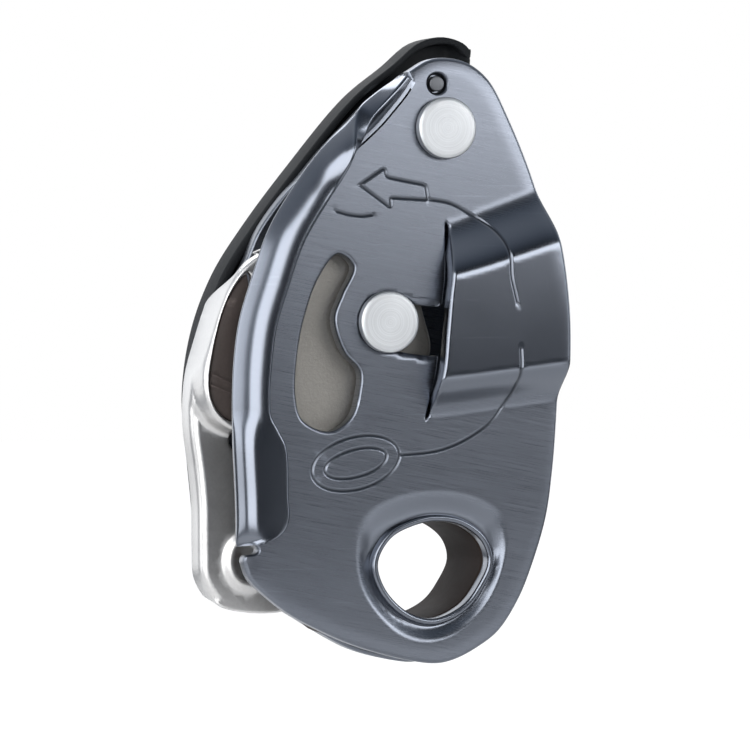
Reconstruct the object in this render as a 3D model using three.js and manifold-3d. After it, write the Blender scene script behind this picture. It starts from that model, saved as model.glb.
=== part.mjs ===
// Assisted braking belay device: two side plates with a pinching cam between them and a folding release handle
// behind. Millimetres, +X right, +Y from the front plate to the back, +Z up. The origin is the middle of the
// attachment hole, halfway between the two side plates.
import * as THREE from "three";
import { mergeVertices } from "three/addons/utils/BufferGeometryUtils.js";
import Module from "manifold-3d";

const wasm = await Module();
wasm.setup();

// Nominal length of the body. Every outline and every place below that ends in Share or Shares is a share of it.
const bodyLength = 100;

// Stack of layers, front to back
const plateGap = 14;
const swingThickness = 3;
const fixedThickness = 3;
const seatGap = 0.3;
const overrun = 1;
const weld = 0.001;

// Swing plate: folded left edge, pressed bridge, dished hole rim
const foldGap = 0.15;
const foldOverlap = 0.6;
const bridgeRise = 5.2;
const bridgeOverlap = 0.6;
const slitGap = 0.4;
const slotSlack = 0.3;
const dishDepth = 1.1;
const dishLip = 0.12;
const beadWidth = 1.1;

// Pivot of the swing plate
const pivotShares = [0.016, 0.715];
const pivotRadius = 3;
const pivotHeadRadius = 5;
const pivotHeadHeight = 1.6;
const pivotHeadBevel = 0.5;
const pivotSpacerRadius = 5.4;
const pivotWasherRadius = 5.6;
const pivotWasherThickness = 0.5;

// Stops of the swing plate
const stopArcShare = 0.073;
const stopRadius = 1.25;
const stopReach = 3;
const stopLeadIn = 0.65;
const stopLeadInDepth = 0.4;
const stopRestAngle = 1.73;
const stopSideAngle = 0.38;
const swingOpenAngle = 2.05;

// Cam, its axle and its drive
const axleShares = [-0.082, 0.401];
const axleRadius = 4;
const axleNeckRadius = 3.7;
const axleHeadRadius = 5;
const axleHeadHeight = 1.5;
const axleHeadBevel = 0.4;
const axleTail = 1;
const axleRingRadius = 6.2;
const axleRingThickness = 0.9;
const camFrontGap = 0.7;
const camBackGap = 2.2;
const camGroove = 2.6;
const bushWall = 0.9;
const sleeveRadius = 6.7;
const thrustWasherRadius = 10;
const armThickness = 2.2;
const armAxleEyeRadius = 9.6;
const armHandleEyeRadius = 5.4;
const springWire = 1.1;
const springWireHandle = 1;
const capRadius = 8;
const capWall = 0.8;
const capDepth = 2.8;
const camStopRadius = 2;
const camStopAlongShare = 0.22;

// Handle
const handlePivotShares = [-0.26, 0.05];
const handlePinRadius = 3;
const handlePinHeadRadius = 4.6;
const handlePinHeadHeight = 1.2;
const handleBossRadius = 6;
const handleBushWall = 0.8;
const handleRim = 2.4;
const handleDepth = 10.3;
const handleFloor = 1.8;
const handleShoulder = 3.4;
const handleCapThickness = 1.1;

// Friction plate on the left
const frictionThickness = 1.5;
const islandRise = 5.5;
const islandTaper = 0.5;
const insertSink = 0.9;
const beadRise = 0.8;
const beadTaper = 1.6;
const frictionRivetRadius = 2;

// Pieces between the plates
const linerWall = 2;
const anvilRivetRadius = 1.5;
const guideRivetRadius = 1.2;

// Fineness of round shapes
const roundSides = 32;
const pinSides = 20;
const holeSides = 40;
const spanSteps = 3;
const foldSteps = 5;
const rampSteps = 4;

// Layers that follow from the stack
const swingInner = -plateGap / 2;
const swingOuter = swingInner - swingThickness;
const fixedInner = plateGap / 2;
const fixedOuter = fixedInner + fixedThickness;
const armFront = fixedOuter + 2 * seatGap;
const armBack = armFront + armThickness;
const handleFront = armFront;
const handleSeat = armBack + seatGap;
const handleBack = handleFront + handleDepth;
const frictionFront = fixedInner - seatGap - frictionThickness;

// Outlines, seen from the front, clockwise from the top
const swingEdgeShares = [
  [-0.046, 0.805], [-0.009, 0.826], [0.026, 0.829], [0.06, 0.821], [0.095, 0.794], [0.129, 0.733],
  [0.171, 0.634], [0.207, 0.528], [0.217, 0.439], [0.218, 0.364], [0.213, 0.255], [0.206, 0.165],
  [0.194, 0.084], [0.17, 0.007], [0.147, -0.047], [0.112, -0.099], [0.077, -0.125], [0.036, -0.145],
  [0.004, -0.151], [-0.049, -0.144], [-0.135, -0.12], [-0.196, -0.094], [-0.247, -0.067],
  [-0.289, -0.035], [-0.314, -0.01], [-0.324, 0.017],
];
const swingNotchShares = [[-0.324, 0.017], [-0.321, 0.026], [-0.304, 0.029], [-0.299, 0.036], [-0.305, 0.044]];

// Folded edge, bottom to top: place of the crease, turn as a share of a half turn, radius of the bent sheet's
// middle as a share of its thickness, and length of the flat that follows the bend.
const foldStationShares = [
  [-0.305, 0.046, 1, 0, 0.012], [-0.306, 0.055, 1, 0, 0.03], [-0.306, 0.079, 1, 0, 0.048],
  [-0.307, 0.121, 1, 0, 0.049], [-0.311, 0.2, 1, 0, 0.049], [-0.3115, 0.226, 1, 0, 0.037],
  [-0.312, 0.25, 1, 0, 0.025], [-0.312, 0.285, 1, 0, 0.023], [-0.31, 0.331, 1, 0, 0.024],
  [-0.3015, 0.395, 1, 0, 0.024], [-0.282, 0.459, 1, 0, 0.024], [-0.254, 0.536, 1, 0, 0.024],
  [-0.216, 0.598, 1, 0, 0.023], [-0.189, 0.636, 1, 0, 0.022], [-0.156, 0.669, 0.94, 0.7, 0.013],
  [-0.124, 0.696, 0.64, 0.79, 0.012], [-0.096, 0.722, 0.39, 0.93, 0.008], [-0.072, 0.749, 0.25, 0.87, 0.007],
  [-0.053, 0.772, 0.14, 0.87, 0.008], [-0.04, 0.792, 0.05, 0.87, 0.01],
];

const kidneyShares = [
  [-0.164, 0.511], [-0.197, 0.472], [-0.219, 0.416], [-0.232, 0.356], [-0.236, 0.281], [-0.224, 0.243],
  [-0.177, 0.225], [-0.142, 0.248], [-0.129, 0.288], [-0.128, 0.323], [-0.154, 0.353], [-0.171, 0.406],
  [-0.157, 0.446], [-0.138, 0.491],
];
const slitShares = [
  [-0.016, 0.244], [-0.006, 0.28], [0.005, 0.328], [0.01, 0.38], [0.016, 0.446], [0.019, 0.47], [0.019, 0.563],
];
const bridgeSpanShares = [-0.03, 0.255];
const bridgeCreaseShares = [[0.242, 0.278], [0.308, 0.345], [0.452, 0.543], [0.545, 0.652]];

const holeShares = [
  [0.002, 0.079], [0.046, 0.072], [0.082, 0.045], [0.092, 0.012], [0.076, -0.024], [0.049, -0.057],
  [0, -0.078], [-0.043, -0.068], [-0.082, -0.032], [-0.096, 0.012], [-0.074, 0.052], [-0.035, 0.072],
];
const dishShares = [
  [0.007, 0.131], [0.077, 0.119], [0.118, 0.092], [0.126, 0.042], [0.116, 0.002], [0.099, -0.042],
  [0.07, -0.079], [0.036, -0.105], [-0.01, -0.118], [-0.06, -0.106], [-0.102, -0.069], [-0.128, -0.027],
  [-0.138, 0.023], [-0.138, 0.062], [-0.12, 0.095], [-0.07, 0.122],
];

const fixedEdgeShares = [
  [-0.05, 0.77], [-0.015, 0.793], [0.015, 0.816], [0.05, 0.822], [0.085, 0.8], [0.125, 0.733],
  [0.167, 0.634], [0.203, 0.528], [0.214, 0.439], [0.215, 0.364], [0.21, 0.255], [0.203, 0.165],
  [0.19, 0.084], [0.168, 0.007], [0.145, -0.05], [0.112, -0.109], [0.07, -0.143], [0.026, -0.157],
  [-0.035, -0.149], [-0.086, -0.134], [-0.13, -0.112], [-0.18, -0.082], [-0.235, -0.05],
];
const fixedUpperLeftShares = [
  [-0.29, 0.462], [-0.268, 0.498], [-0.244, 0.551], [-0.201, 0.61], [-0.176, 0.636], [-0.138, 0.681],
  [-0.1, 0.72], [-0.05, 0.77],
];

const camShares = [
  [-0.005, 0.412], [-0.022, 0.46], [-0.065, 0.508], [-0.125, 0.539], [-0.18, 0.534], [-0.226, 0.495],
  [-0.25, 0.43], [-0.256, 0.35], [-0.252, 0.28], [-0.236, 0.236], [-0.195, 0.215], [-0.15, 0.219],
  [-0.105, 0.25], [-0.045, 0.292], [0.006, 0.35],
];

const frictionEdgeShares = [
  [-0.2, 0.551], [-0.228, 0.521], [-0.262, 0.497], [-0.283, 0.484], [-0.308, 0.452], [-0.326, 0.417],
  [-0.345, 0.373], [-0.361, 0.321], [-0.366, 0.275], [-0.365, 0.226], [-0.356, 0.158], [-0.351, 0.105],
  [-0.35, 0.034], [-0.348, -0.01], [-0.339, -0.032], [-0.316, -0.06], [-0.273, -0.071], [-0.218, -0.072],
  [-0.19, -0.066],
];
const frictionInnerShares = [
  [-0.19, -0.066], [-0.19, 0.1], [-0.3, 0.2], [-0.3, 0.42], [-0.25, 0.43], [-0.18, 0.48], [-0.18, 0.545],
  [-0.2, 0.551],
];
const frictionWallShares = [-0.05, 0.445];
const islandShares = [
  [-0.283, 0.486], [-0.306, 0.47], [-0.331, 0.432], [-0.352, 0.365], [-0.36, 0.305], [-0.353, 0.266],
  [-0.333, 0.243], [-0.31, 0.243], [-0.298, 0.265], [-0.294, 0.33], [-0.285, 0.4], [-0.268, 0.455],
  [-0.268, 0.478],
];
const windowShares = [
  [-0.287, 0.472], [-0.302, 0.459], [-0.32, 0.428], [-0.34, 0.363], [-0.347, 0.306], [-0.341, 0.273],
  [-0.327, 0.256], [-0.314, 0.257], [-0.31, 0.272], [-0.307, 0.33], [-0.298, 0.4], [-0.281, 0.457],
];
const ovalBeadShares = [-0.268, 0.012];
const ovalBeadSizeShares = [0.047, 0.054];
const frictionRivetShares = [[-0.268, 0.012], [-0.222, 0.492]];

const linerShares = [
  [-0.17, -0.093], [-0.12, -0.112], [-0.085, -0.127], [-0.035, -0.141], [0.026, -0.146], [0.07, -0.13],
  [0.108, -0.095], [0.138, -0.045], [0.16, 0.01], [0.165, 0.07], [0.14, 0.105], [0.07, 0.112], [0, 0.112],
  [-0.08, 0.105], [-0.14, 0.07], [-0.175, 0.01], [-0.182, -0.05],
];
const anvilShares = [
  [-0.142, 0.664], [-0.126, 0.648], [-0.085, 0.642], [-0.046, 0.652], [-0.049, 0.686], [-0.09, 0.696],
  [-0.128, 0.69],
];
const anvilRivetShares = [[-0.112, 0.669], [-0.067, 0.669]];
const guideOuterShares = [
  [0.18, 0.125], [0.196, 0.18], [0.202, 0.26], [0.207, 0.34], [0.206, 0.42], [0.2, 0.49], [0.182, 0.56],
  [0.158, 0.62], [0.134, 0.675],
];
const guideInnerShares = [
  [0.11, 0.655], [0.132, 0.6], [0.152, 0.54], [0.164, 0.48], [0.168, 0.41], [0.166, 0.33], [0.16, 0.26],
  [0.15, 0.18], [0.145, 0.13],
];
const guideRivetShares = [[0.173, 0.2], [0.182, 0.46]];

// Handle sections, tip to hub: outer side, inner side, and how far the outer rim stands forward as a share.
const handleSectionShares = [
  [0.14, 0.856, 0.132, 0.832, 1], [0.126, 0.869, 0.11, 0.812, 1], [0.086, 0.876, 0.074, 0.784, 1],
  [0.046, 0.866, 0.046, 0.762, 1], [0.001, 0.829, 0.02, 0.734, 1], [-0.066, 0.776, -0.026, 0.69, 1],
  [-0.164, 0.662, -0.088, 0.596, 1], [-0.241, 0.563, -0.137, 0.507, 1], [-0.294, 0.482, -0.172, 0.429, 1],
  [-0.33, 0.39, -0.186, 0.346, 1], [-0.346, 0.285, -0.189, 0.26, 1], [-0.338, 0.18, -0.184, 0.17, 1],
  [-0.33, 0.1, -0.179, 0.09, 0], [-0.326, 0.03, -0.179, 0.025, 0], [-0.312, -0.012, -0.196, -0.012, 0],
  [-0.288, -0.038, -0.229, -0.038, 0],
];
const handleRimShare = 0.25;
const handleCrownShare = 0.55;

const materials = {
  plate: { color: 0x6f747c, roughness: 0.42, metalness: 0.9 },
  steel: { color: 0xc4c8cc, roughness: 0.3, metalness: 1 },
  cam: { color: 0x979288, roughness: 0.6, metalness: 0.9 },
  nylon: { color: 0x1d1d1f, roughness: 0.6, metalness: 0 },
  insert: { color: 0x3a322e, roughness: 0.5, metalness: 0 },
  bronze: { color: 0xa67c45, roughness: 0.4, metalness: 1 },
};

// Two values measured along the body and across it become a place on the plates.
function place([x, z]) {
  return new THREE.Vector2(x * bodyLength, z * bodyLength);
}

// Smooth open stretch through places, without its last point.
function stretch(shares) {
  const curve = new THREE.SplineCurve(shares.map(place));
  return curve.getPoints((shares.length - 1) * spanSteps).slice(0, -1);
}

// Smooth closed outline through places.
function closedOutline(shares) {
  const corners = shares.map(place).map((p) => new THREE.Vector3(p.x, p.y, 0));
  const curve = new THREE.CatmullRomCurve3(corners, true, "centripetal");
  return curve.getPoints(shares.length * spanSteps).slice(0, -1).map((p) => new THREE.Vector2(p.x, p.y));
}

// Signed area of an outline, over zero where it turns counter-clockwise.
function isCounterClockwise(outline) {
  return THREE.ShapeUtils.area(outline) > 0;
}

// Outline moved outward by a distance, inward where the distance is under zero.
function offset(outline, distance) {
  const side = isCounterClockwise(outline) ? 1 : -1;
  return outline.map((point, i) => {
    const before = outline[(i + outline.length - 1) % outline.length];
    const after = outline[(i + 1) % outline.length];
    const along = after.clone().sub(before).normalize();
    return new THREE.Vector2(point.x + side * along.y * distance, point.y - side * along.x * distance);
  });
}

// Oval about a centre.
function oval(centre, halfWidth, halfHeight, sides) {
  const outline = [];
  for (let i = 0; i < sides; i += 1) {
    const angle = (2 * Math.PI * i) / sides;
    const across = new THREE.Vector2(halfWidth * Math.cos(angle), halfHeight * Math.sin(angle));
    outline.push(across.add(centre));
  }
  return outline;
}

function circle(centre, radius, sides = roundSides) {
  return oval(centre, radius, radius, sides);
}

// Six times the signed volume of a mesh tells which way its faces point.
function facesInward(geometry) {
  const p = geometry.getAttribute("position");
  const [a, b, c] = [new THREE.Vector3(), new THREE.Vector3(), new THREE.Vector3()];
  let total = 0;
  for (let i = 0; i < geometry.index.count; i += 3) {
    a.fromBufferAttribute(p, geometry.index.getX(i));
    b.fromBufferAttribute(p, geometry.index.getX(i + 1));
    c.fromBufferAttribute(p, geometry.index.getX(i + 2));
    total += a.dot(b.cross(c));
  }
  return total < 0;
}

// Closed geometry as a solid that can be joined and cut.
function solidFrom(geometry) {
  const bare = new THREE.BufferGeometry();
  const loose = geometry.index ? geometry.toNonIndexed() : geometry;
  bare.setAttribute("position", loose.getAttribute("position"));
  const merged = mergeVertices(bare, weld);
  const triVerts = new Uint32Array(merged.index.array);
  if (facesInward(merged)) triVerts.reverse();
  const mesh = new wasm.Mesh({ numProp: 3, vertProperties: merged.attributes.position.array, triVerts });
  return new wasm.Manifold(mesh);
}

function geometryFrom(solid) {
  const mesh = solid.getMesh();
  const geometry = new THREE.BufferGeometry();
  geometry.setAttribute("position", new THREE.BufferAttribute(mesh.vertProperties, 3));
  geometry.setIndex(new THREE.BufferAttribute(mesh.triVerts, 1));
  const faceted = geometry.toNonIndexed();
  faceted.computeVertexNormals();
  return faceted;
}

// Plate with the given outline and holes between two depths.
function prism(outline, front, back, holes = []) {
  const shape = new THREE.Shape(outline);
  holes.forEach((hole) => shape.holes.push(new THREE.Path(hole)));
  const geometry = new THREE.ExtrudeGeometry(shape, { depth: back - front, bevelEnabled: false });
  geometry.rotateX(Math.PI / 2);
  geometry.translate(0, back, 0);
  return solidFrom(geometry);
}

// Turned piece about an axis along Y: profile points are radius and depth, and start and end on the axis or meet.
function turned(centre, profile, sides = roundSides) {
  const geometry = new THREE.LatheGeometry(profile.map(([r, y]) => new THREE.Vector2(r, y)), sides);
  geometry.translate(centre.x, 0, centre.y);
  return solidFrom(geometry);
}

// Ring or tube about an axis along Y.
function tube(centre, inner, outer, front, back, sides = roundSides) {
  return turned(centre, [[inner, front], [outer, front], [outer, back], [inner, back], [inner, front]], sides);
}

function rod(centre, radius, front, back, sides = pinSides) {
  return turned(centre, [[0, front], [radius, front], [radius, back], [0, back]], sides);
}

// Skin over sections of equal count. The end sections are closed with the flat outlines given for them, and
// a loop without them closes on itself.
function loft(sections, startFlat, endFlat) {
  const count = sections[0].length;
  const points = sections.flat();
  const index = [];
  const rows = startFlat ? sections.length - 1 : sections.length;
  for (let row = 0; row < rows; row += 1) {
    for (let i = 0; i < count; i += 1) {
      const next = (i + 1) % count;
      const a = row * count;
      const b = ((row + 1) % sections.length) * count;
      index.push(a + i, a + next, b + next, a + i, b + next, b + i);
    }
  }
  if (startFlat) {
    const last = (sections.length - 1) * count;
    const counter = isCounterClockwise(startFlat);
    for (const [a, b, c] of THREE.ShapeUtils.triangulateShape(startFlat, [])) {
      index.push(...(counter ? [c, b, a] : [a, b, c]));
    }
    for (const [a, b, c] of THREE.ShapeUtils.triangulateShape(endFlat, [])) {
      index.push(...(counter ? [last + a, last + b, last + c] : [last + c, last + b, last + a]));
    }
  }
  const geometry = new THREE.BufferGeometry().setFromPoints(points);
  geometry.setIndex(index);
  return solidFrom(geometry);
}

// Distance from the origin to an outline that surrounds it, in a direction.
function reachOf(outline, angle) {
  const far = new THREE.Vector2(Math.cos(angle), Math.sin(angle));
  for (let i = 0; i < outline.length; i += 1) {
    const a = outline[i];
    const edge = outline[(i + 1) % outline.length].clone().sub(a);
    const across = far.cross(edge);
    if (across === 0) continue;
    const along = far.cross(a) / -across;
    const reach = a.cross(edge) / across;
    if (reach > 0 && along >= 0 && along <= 1) return reach;
  }
  return 0;
}

// Ring of triangular or larger section around the origin, between outlines that surround it. Each corner of the
// section gives its outline, how far outside that outline it runs, and its depth.
function collar(corners, sides = holeSides) {
  const sections = [];
  for (let i = 0; i < sides; i += 1) {
    const angle = (2 * Math.PI * i) / sides;
    sections.push(corners.map(([outline, out, depth]) => {
      const reach = reachOf(outline, angle) + out;
      return new THREE.Vector3(reach * Math.cos(angle), depth, reach * Math.sin(angle));
    }));
  }
  return loft(sections);
}

// Skin through outlines of equal count at different depths, each moved outward by its own distance.
function layered(outline, layers) {
  const flats = layers.map(([, out]) => offset(outline, out));
  const sections = flats.map((flat, i) => flat.map((p) => new THREE.Vector3(p.x, layers[i][0], p.y)));
  return loft(sections, flats[0], flats.at(-1));
}

// Dome-headed round part: head in front of its seat, shank behind it.
function headProfile(seat, radius, height, bevel) {
  return [
    [0, seat - height], [radius - 2 * bevel, seat - height], [radius - bevel / 2, seat - height + bevel / 2],
    [radius, seat - height + bevel], [radius, seat],
  ];
}

// Folded left edge of the swing plate, as one skin along the crease.
function foldedEdge() {
  const middle = (swingInner + swingOuter) / 2;
  const half = swingThickness / 2;
  const creases = foldStationShares.map(place);
  const flats = foldStationShares.map(([, , turn, radiusShare, flatShare]) => {
    const radius = radiusShare ? radiusShare * swingThickness : half + foldGap;
    const flat = flatShare * bodyLength;
    const bend = (side) => {
      const arc = [];
      for (let i = 0; i <= foldSteps; i += 1) {
        const angle = (turn * Math.PI * i) / foldSteps;
        const reach = radius + side * half;
        arc.push(new THREE.Vector2(-reach * Math.sin(angle), middle - radius + reach * Math.cos(angle)));
      }
      return arc;
    };
    const onward = new THREE.Vector2(-Math.cos(turn * Math.PI), -Math.sin(turn * Math.PI)).multiplyScalar(flat);
    const back = bend(1);
    const front = bend(-1);
    back.push(back.at(-1).clone().add(onward));
    front.push(front.at(-1).clone().add(onward));
    back.unshift(new THREE.Vector2(foldOverlap, swingInner));
    front.unshift(new THREE.Vector2(foldOverlap, swingOuter));
    return [...back, ...front.reverse()];
  });
  const sections = flats.map((flat, i) => {
    const before = creases[Math.max(i - 1, 0)];
    const after = creases[Math.min(i + 1, creases.length - 1)];
    const along = after.clone().sub(before).normalize();
    const inward = new THREE.Vector2(along.y, -along.x);
    return flat.map((p) => new THREE.Vector3(creases[i].x + inward.x * p.x, p.y, creases[i].y + inward.y * p.x));
  });
  return loft(sections, flats[0], flats.at(-1));
}

// Height at which one of the bridge's creases crosses a place between its two ends.
function creaseAt(number, along) {
  const [left, right] = bridgeCreaseShares[number];
  return (left + (right - left) * along) * bodyLength;
}

// Region to the right of the slit, between the outer creases, grown past them and drawn back from the slit.
function bridgeRegion(grow, back) {
  const slit = slitShares.map(place).map((p) => new THREE.Vector2(p.x + back, p.y));
  const [left, right] = bridgeSpanShares.map((share) => share * bodyLength);
  const creaseNear = (number, x) => creaseAt(number, (x - left) / (right - left));
  slit[0].y = creaseNear(0, slit[0].x) - grow;
  slit[slit.length - 1].y = creaseNear(3, slit.at(-1).x) + grow;
  const topRight = new THREE.Vector2(right, creaseAt(3, 1) + grow);
  const bottomRight = new THREE.Vector2(right, creaseAt(0, 1) - grow);
  return [...slit, topRight, bottomRight];
}

// Pressed arch that lets the axle's head pass under the plate when it swings open.
function bridgeArch() {
  const section = (along) => {
    const [low, lowFlat, highFlat, high] = [0, 1, 2, 3].map((number) => creaseAt(number, along));
    const line = [[low - 2 * bridgeOverlap, 0]];
    for (let i = 0; i <= rampSteps; i += 1) {
      line.push([low + ((lowFlat - low) * i) / rampSteps, THREE.MathUtils.smoothstep(i, 0, rampSteps)]);
    }
    for (let i = 0; i <= rampSteps; i += 1) {
      line.push([highFlat + ((high - highFlat) * i) / rampSteps, 1 - THREE.MathUtils.smoothstep(i, 0, rampSteps)]);
    }
    line.push([high + 2 * bridgeOverlap, 0]);
    const outer = line.map(([z, rise]) => new THREE.Vector2(z, swingOuter - rise * bridgeRise));
    const inner = line.map(([z, rise]) => new THREE.Vector2(z, swingInner - rise * bridgeRise));
    return [...outer, ...inner.reverse()];
  };
  const flats = [0, 0.5, 1].map(section);
  const [left, right] = bridgeSpanShares.map((share) => share * bodyLength);
  const places = [left, (left + right) / 2, right];
  const sections = flats.map((flat, i) => flat.map((p) => new THREE.Vector3(places[i], p.y, p.x)));
  return loft(sections, flats[0], flats.at(-1));
}

// Slot along the arc that the axle's neck follows as the plate swings about its pivot.
function neckSlot() {
  const pivot = place(pivotShares);
  const axle = place(axleShares);
  const radius = pivot.distanceTo(axle);
  const start = axle.clone().sub(pivot).angle();
  const half = axleNeckRadius + slotSlack;
  const sweep = (2 * half + axleHeadRadius) / radius;
  const outline = [];
  for (let i = 0; i <= 2 * rampSteps; i += 1) {
    const angle = start + (sweep * i) / (2 * rampSteps);
    outline.push(new THREE.Vector2(Math.cos(angle), Math.sin(angle)).multiplyScalar(radius + half).add(pivot));
  }
  for (let i = 2 * rampSteps; i >= 0; i -= 1) {
    const angle = start + (sweep * i) / (2 * rampSteps);
    outline.push(new THREE.Vector2(Math.cos(angle), Math.sin(angle)).multiplyScalar(radius - half).add(pivot));
  }
  const radial = new THREE.Vector2(Math.cos(start), Math.sin(start)).multiplyScalar(half);
  const backward = new THREE.Vector2(radial.y, -radial.x);
  for (let i = 1; i < 2 * rampSteps; i += 1) {
    const turn = (Math.PI * i) / (2 * rampSteps);
    const end = axle.clone().addScaledVector(radial, -Math.cos(turn));
    outline.push(end.addScaledVector(backward, Math.sin(turn)));
  }
  return outline;
}

// Place of a stop on its arc about the swing plate's pivot.
function stopPlace(angle) {
  const arm = new THREE.Vector2(Math.cos(angle), Math.sin(angle)).multiplyScalar(stopArcShare * bodyLength);
  return arm.add(place(pivotShares));
}

function swingSidePlate() {
  const edge = [...stretch(swingEdgeShares), ...swingNotchShares.map(place)];
  const crease = stretch(foldStationShares);
  const hole = closedOutline(holeShares);
  const dish = closedOutline(dishShares);
  const flat = prism([...edge, ...crease], swingOuter, swingInner, [closedOutline(kidneyShares)]);
  const above = swingOuter - bridgeRise - overrun;
  const below = swingInner + overrun;
  const bridge = bridgeArch()
    .intersect(prism(bridgeRegion(bridgeOverlap, slitGap), above, below))
    .intersect(prism([...edge, ...crease], above, below));
  const bowl = collar([
    [dish, dishLip, swingOuter - dishLip], [hole, beadWidth, swingOuter + dishDepth],
    [hole, beadWidth, swingOuter - overrun], [dish, dishLip, swingOuter - overrun],
  ]);
  const stop = stopPlace(stopRestAngle);
  return flat
    .subtract(prism(bridgeRegion(0, 0), above, below))
    .subtract(prism(neckSlot(), above, below))
    .add(bridge)
    .add(foldedEdge())
    .subtract(prism(hole, above, below))
    .subtract(bowl)
    .subtract(rod(place(pivotShares), pivotRadius + seatGap, above, below))
    .subtract(rod(stop, stopRadius + seatGap, above, below))
    .subtract(rod(stop, stopRadius + stopLeadIn, above, swingOuter + stopLeadInDepth));
}

function swingStopPin() {
  return rod(stopPlace(stopRestAngle), stopRadius, swingOuter + stopLeadInDepth / 2, swingInner + stopReach);
}

// Stop on the fixed plate, beside the place where the swing plate's own pin rests at that limit.
function fixedStop(angle) {
  return rod(stopPlace(angle), stopRadius, swingInner + seatGap, fixedInner - seatGap);
}

// Left edge of the friction plate, drawn inward, from the top down.
function frictionEdge(inset) {
  const edge = [...stretch(frictionEdgeShares), place(frictionEdgeShares.at(-1))];
  const closed = [...edge, new THREE.Vector2(0, edge.at(-1).y), new THREE.Vector2(0, edge[0].y)];
  return offset(closed, -inset).slice(0, edge.length);
}

// The fixed plate follows the inside of the friction plate's wall where that wall wraps round it.
function fixedOutline() {
  const [low, high] = frictionWallShares.map((share) => share * bodyLength);
  const wrapped = frictionEdge(frictionThickness + seatGap).filter((p) => p.y > low && p.y < high);
  return [...stretch(fixedEdgeShares), ...wrapped.reverse(), ...stretch(fixedUpperLeftShares)];
}

function fixedSidePlate() {
  const hole = offset(closedOutline(holeShares), linerWall + seatGap);
  const front = fixedInner - overrun;
  const back = fixedOuter + overrun;
  let plate = prism(fixedOutline(), fixedInner, fixedOuter).subtract(prism(hole, front, back));
  const bores = [
    [place(pivotShares), pivotRadius + seatGap], [place(axleShares), sleeveRadius + seatGap],
    [camStopPlace(), camStopRadius + seatGap],
    ...frictionRivetShares.map((share) => [place(share), frictionRivetRadius + seatGap]),
    ...anvilRivetShares.map((share) => [place(share), anvilRivetRadius + seatGap]),
    ...guideRivetShares.map((share) => [place(share), guideRivetRadius + seatGap]),
  ];
  for (const [centre, radius] of bores) {
    plate = plate.subtract(rod(centre, radius, front, back));
  }
  return plate;
}

// Its tail is flush, because the handle passes behind it.
function pivotRivet() {
  const seat = swingOuter - seatGap;
  const head = headProfile(seat, pivotHeadRadius, pivotHeadHeight, pivotHeadBevel);
  return turned(place(pivotShares), [...head, [pivotRadius, seat], [pivotRadius, fixedOuter], [0, fixedOuter]]);
}

function pivotSpacer() {
  const front = swingInner + 2 * seatGap + pivotWasherThickness;
  return tube(place(pivotShares), pivotRadius + seatGap, pivotSpacerRadius, front, fixedInner - seatGap);
}

function pivotWasher() {
  const front = swingInner + seatGap;
  const inner = pivotRadius + seatGap;
  return tube(place(pivotShares), inner, pivotWasherRadius, front, front + pivotWasherThickness);
}

function camAxle() {
  const seat = swingOuter - seatGap;
  const end = armBack + 3 * seatGap + capDepth + axleRingThickness + axleTail;
  const head = headProfile(seat, axleHeadRadius, axleHeadHeight, axleHeadBevel);
  const rest = [
    [axleNeckRadius, seat], [axleNeckRadius, swingInner + seatGap], [axleRadius, swingInner + seatGap],
    [axleRadius, end - axleHeadBevel], [axleRadius - axleHeadBevel, end], [0, end],
  ];
  return turned(place(axleShares), [...head, ...rest]);
}

function cam() {
  const outline = closedOutline(camShares);
  const front = swingInner + camFrontGap;
  const back = fixedInner - camBackGap;
  const middle = (front + back) / 2;
  const quarter = (back - front) / 4;
  const body = layered(outline, [
    [front, 0], [middle - quarter - seatGap, 0], [middle - quarter / 2, -camGroove],
    [middle + quarter / 2, -camGroove], [middle + quarter + seatGap, 0], [back, 0],
  ]);
  const bore = axleRadius + bushWall + 2 * seatGap;
  return body.subtract(rod(place(axleShares), bore, front - overrun, back + overrun, roundSides));
}

function camBush() {
  const inner = axleRadius + seatGap;
  const front = swingInner + camFrontGap;
  return tube(place(axleShares), inner, inner + bushWall, front, fixedInner - camBackGap, pinSides);
}

// Sleeve that carries the cam's turn through the fixed plate to the arm behind it.
function camSleeve() {
  const front = fixedInner - camBackGap + seatGap;
  return tube(place(axleShares), axleRadius + seatGap, sleeveRadius, front, armBack + seatGap);
}

function camThrustWasher() {
  const front = fixedInner - camBackGap + seatGap;
  return tube(place(axleShares), sleeveRadius + seatGap, thrustWasherRadius, front, fixedInner - seatGap);
}

function camReturnSpring() {
  const outer = capRadius - capWall - seatGap;
  const front = armBack + 2 * seatGap;
  const back = front + capDepth - capWall - seatGap;
  return tube(place(axleShares), outer - springWire, outer, front, back, pinSides);
}

function camSpringCap() {
  const front = armBack + seatGap;
  const back = armBack + 2 * seatGap + capDepth;
  const inner = axleRadius + seatGap;
  return turned(place(axleShares), [
    [inner, back], [inner, back - capWall], [capRadius - capWall, back - capWall], [capRadius - capWall, front],
    [capRadius, front], [capRadius, back - capWall], [capRadius - capWall, back], [inner, back],
  ]);
}

function camAxleRing() {
  const front = armBack + 3 * seatGap + capDepth;
  return tube(place(axleShares), axleRadius + seatGap, axleRingRadius, front, front + axleRingThickness);
}

// The arm's edge rests on this pin when the cam is released.
function camStopPlace() {
  const axle = place(axleShares);
  const along = place(handlePivotShares).sub(axle).normalize();
  const aside = new THREE.Vector2(-along.y, along.x);
  const distance = armWidthAt(camStopAlongShare * bodyLength) + camStopRadius + seatGap;
  return axle.addScaledVector(along, camStopAlongShare * bodyLength).addScaledVector(aside, distance);
}

// Half width of the arm at a distance from the axle, between its two eyes.
function armWidthAt(distance) {
  const length = place(axleShares).distanceTo(place(handlePivotShares));
  const slope = (armAxleEyeRadius - armHandleEyeRadius) / length;
  return (armAxleEyeRadius - slope * distance) / Math.cos(Math.asin(slope));
}

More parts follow.
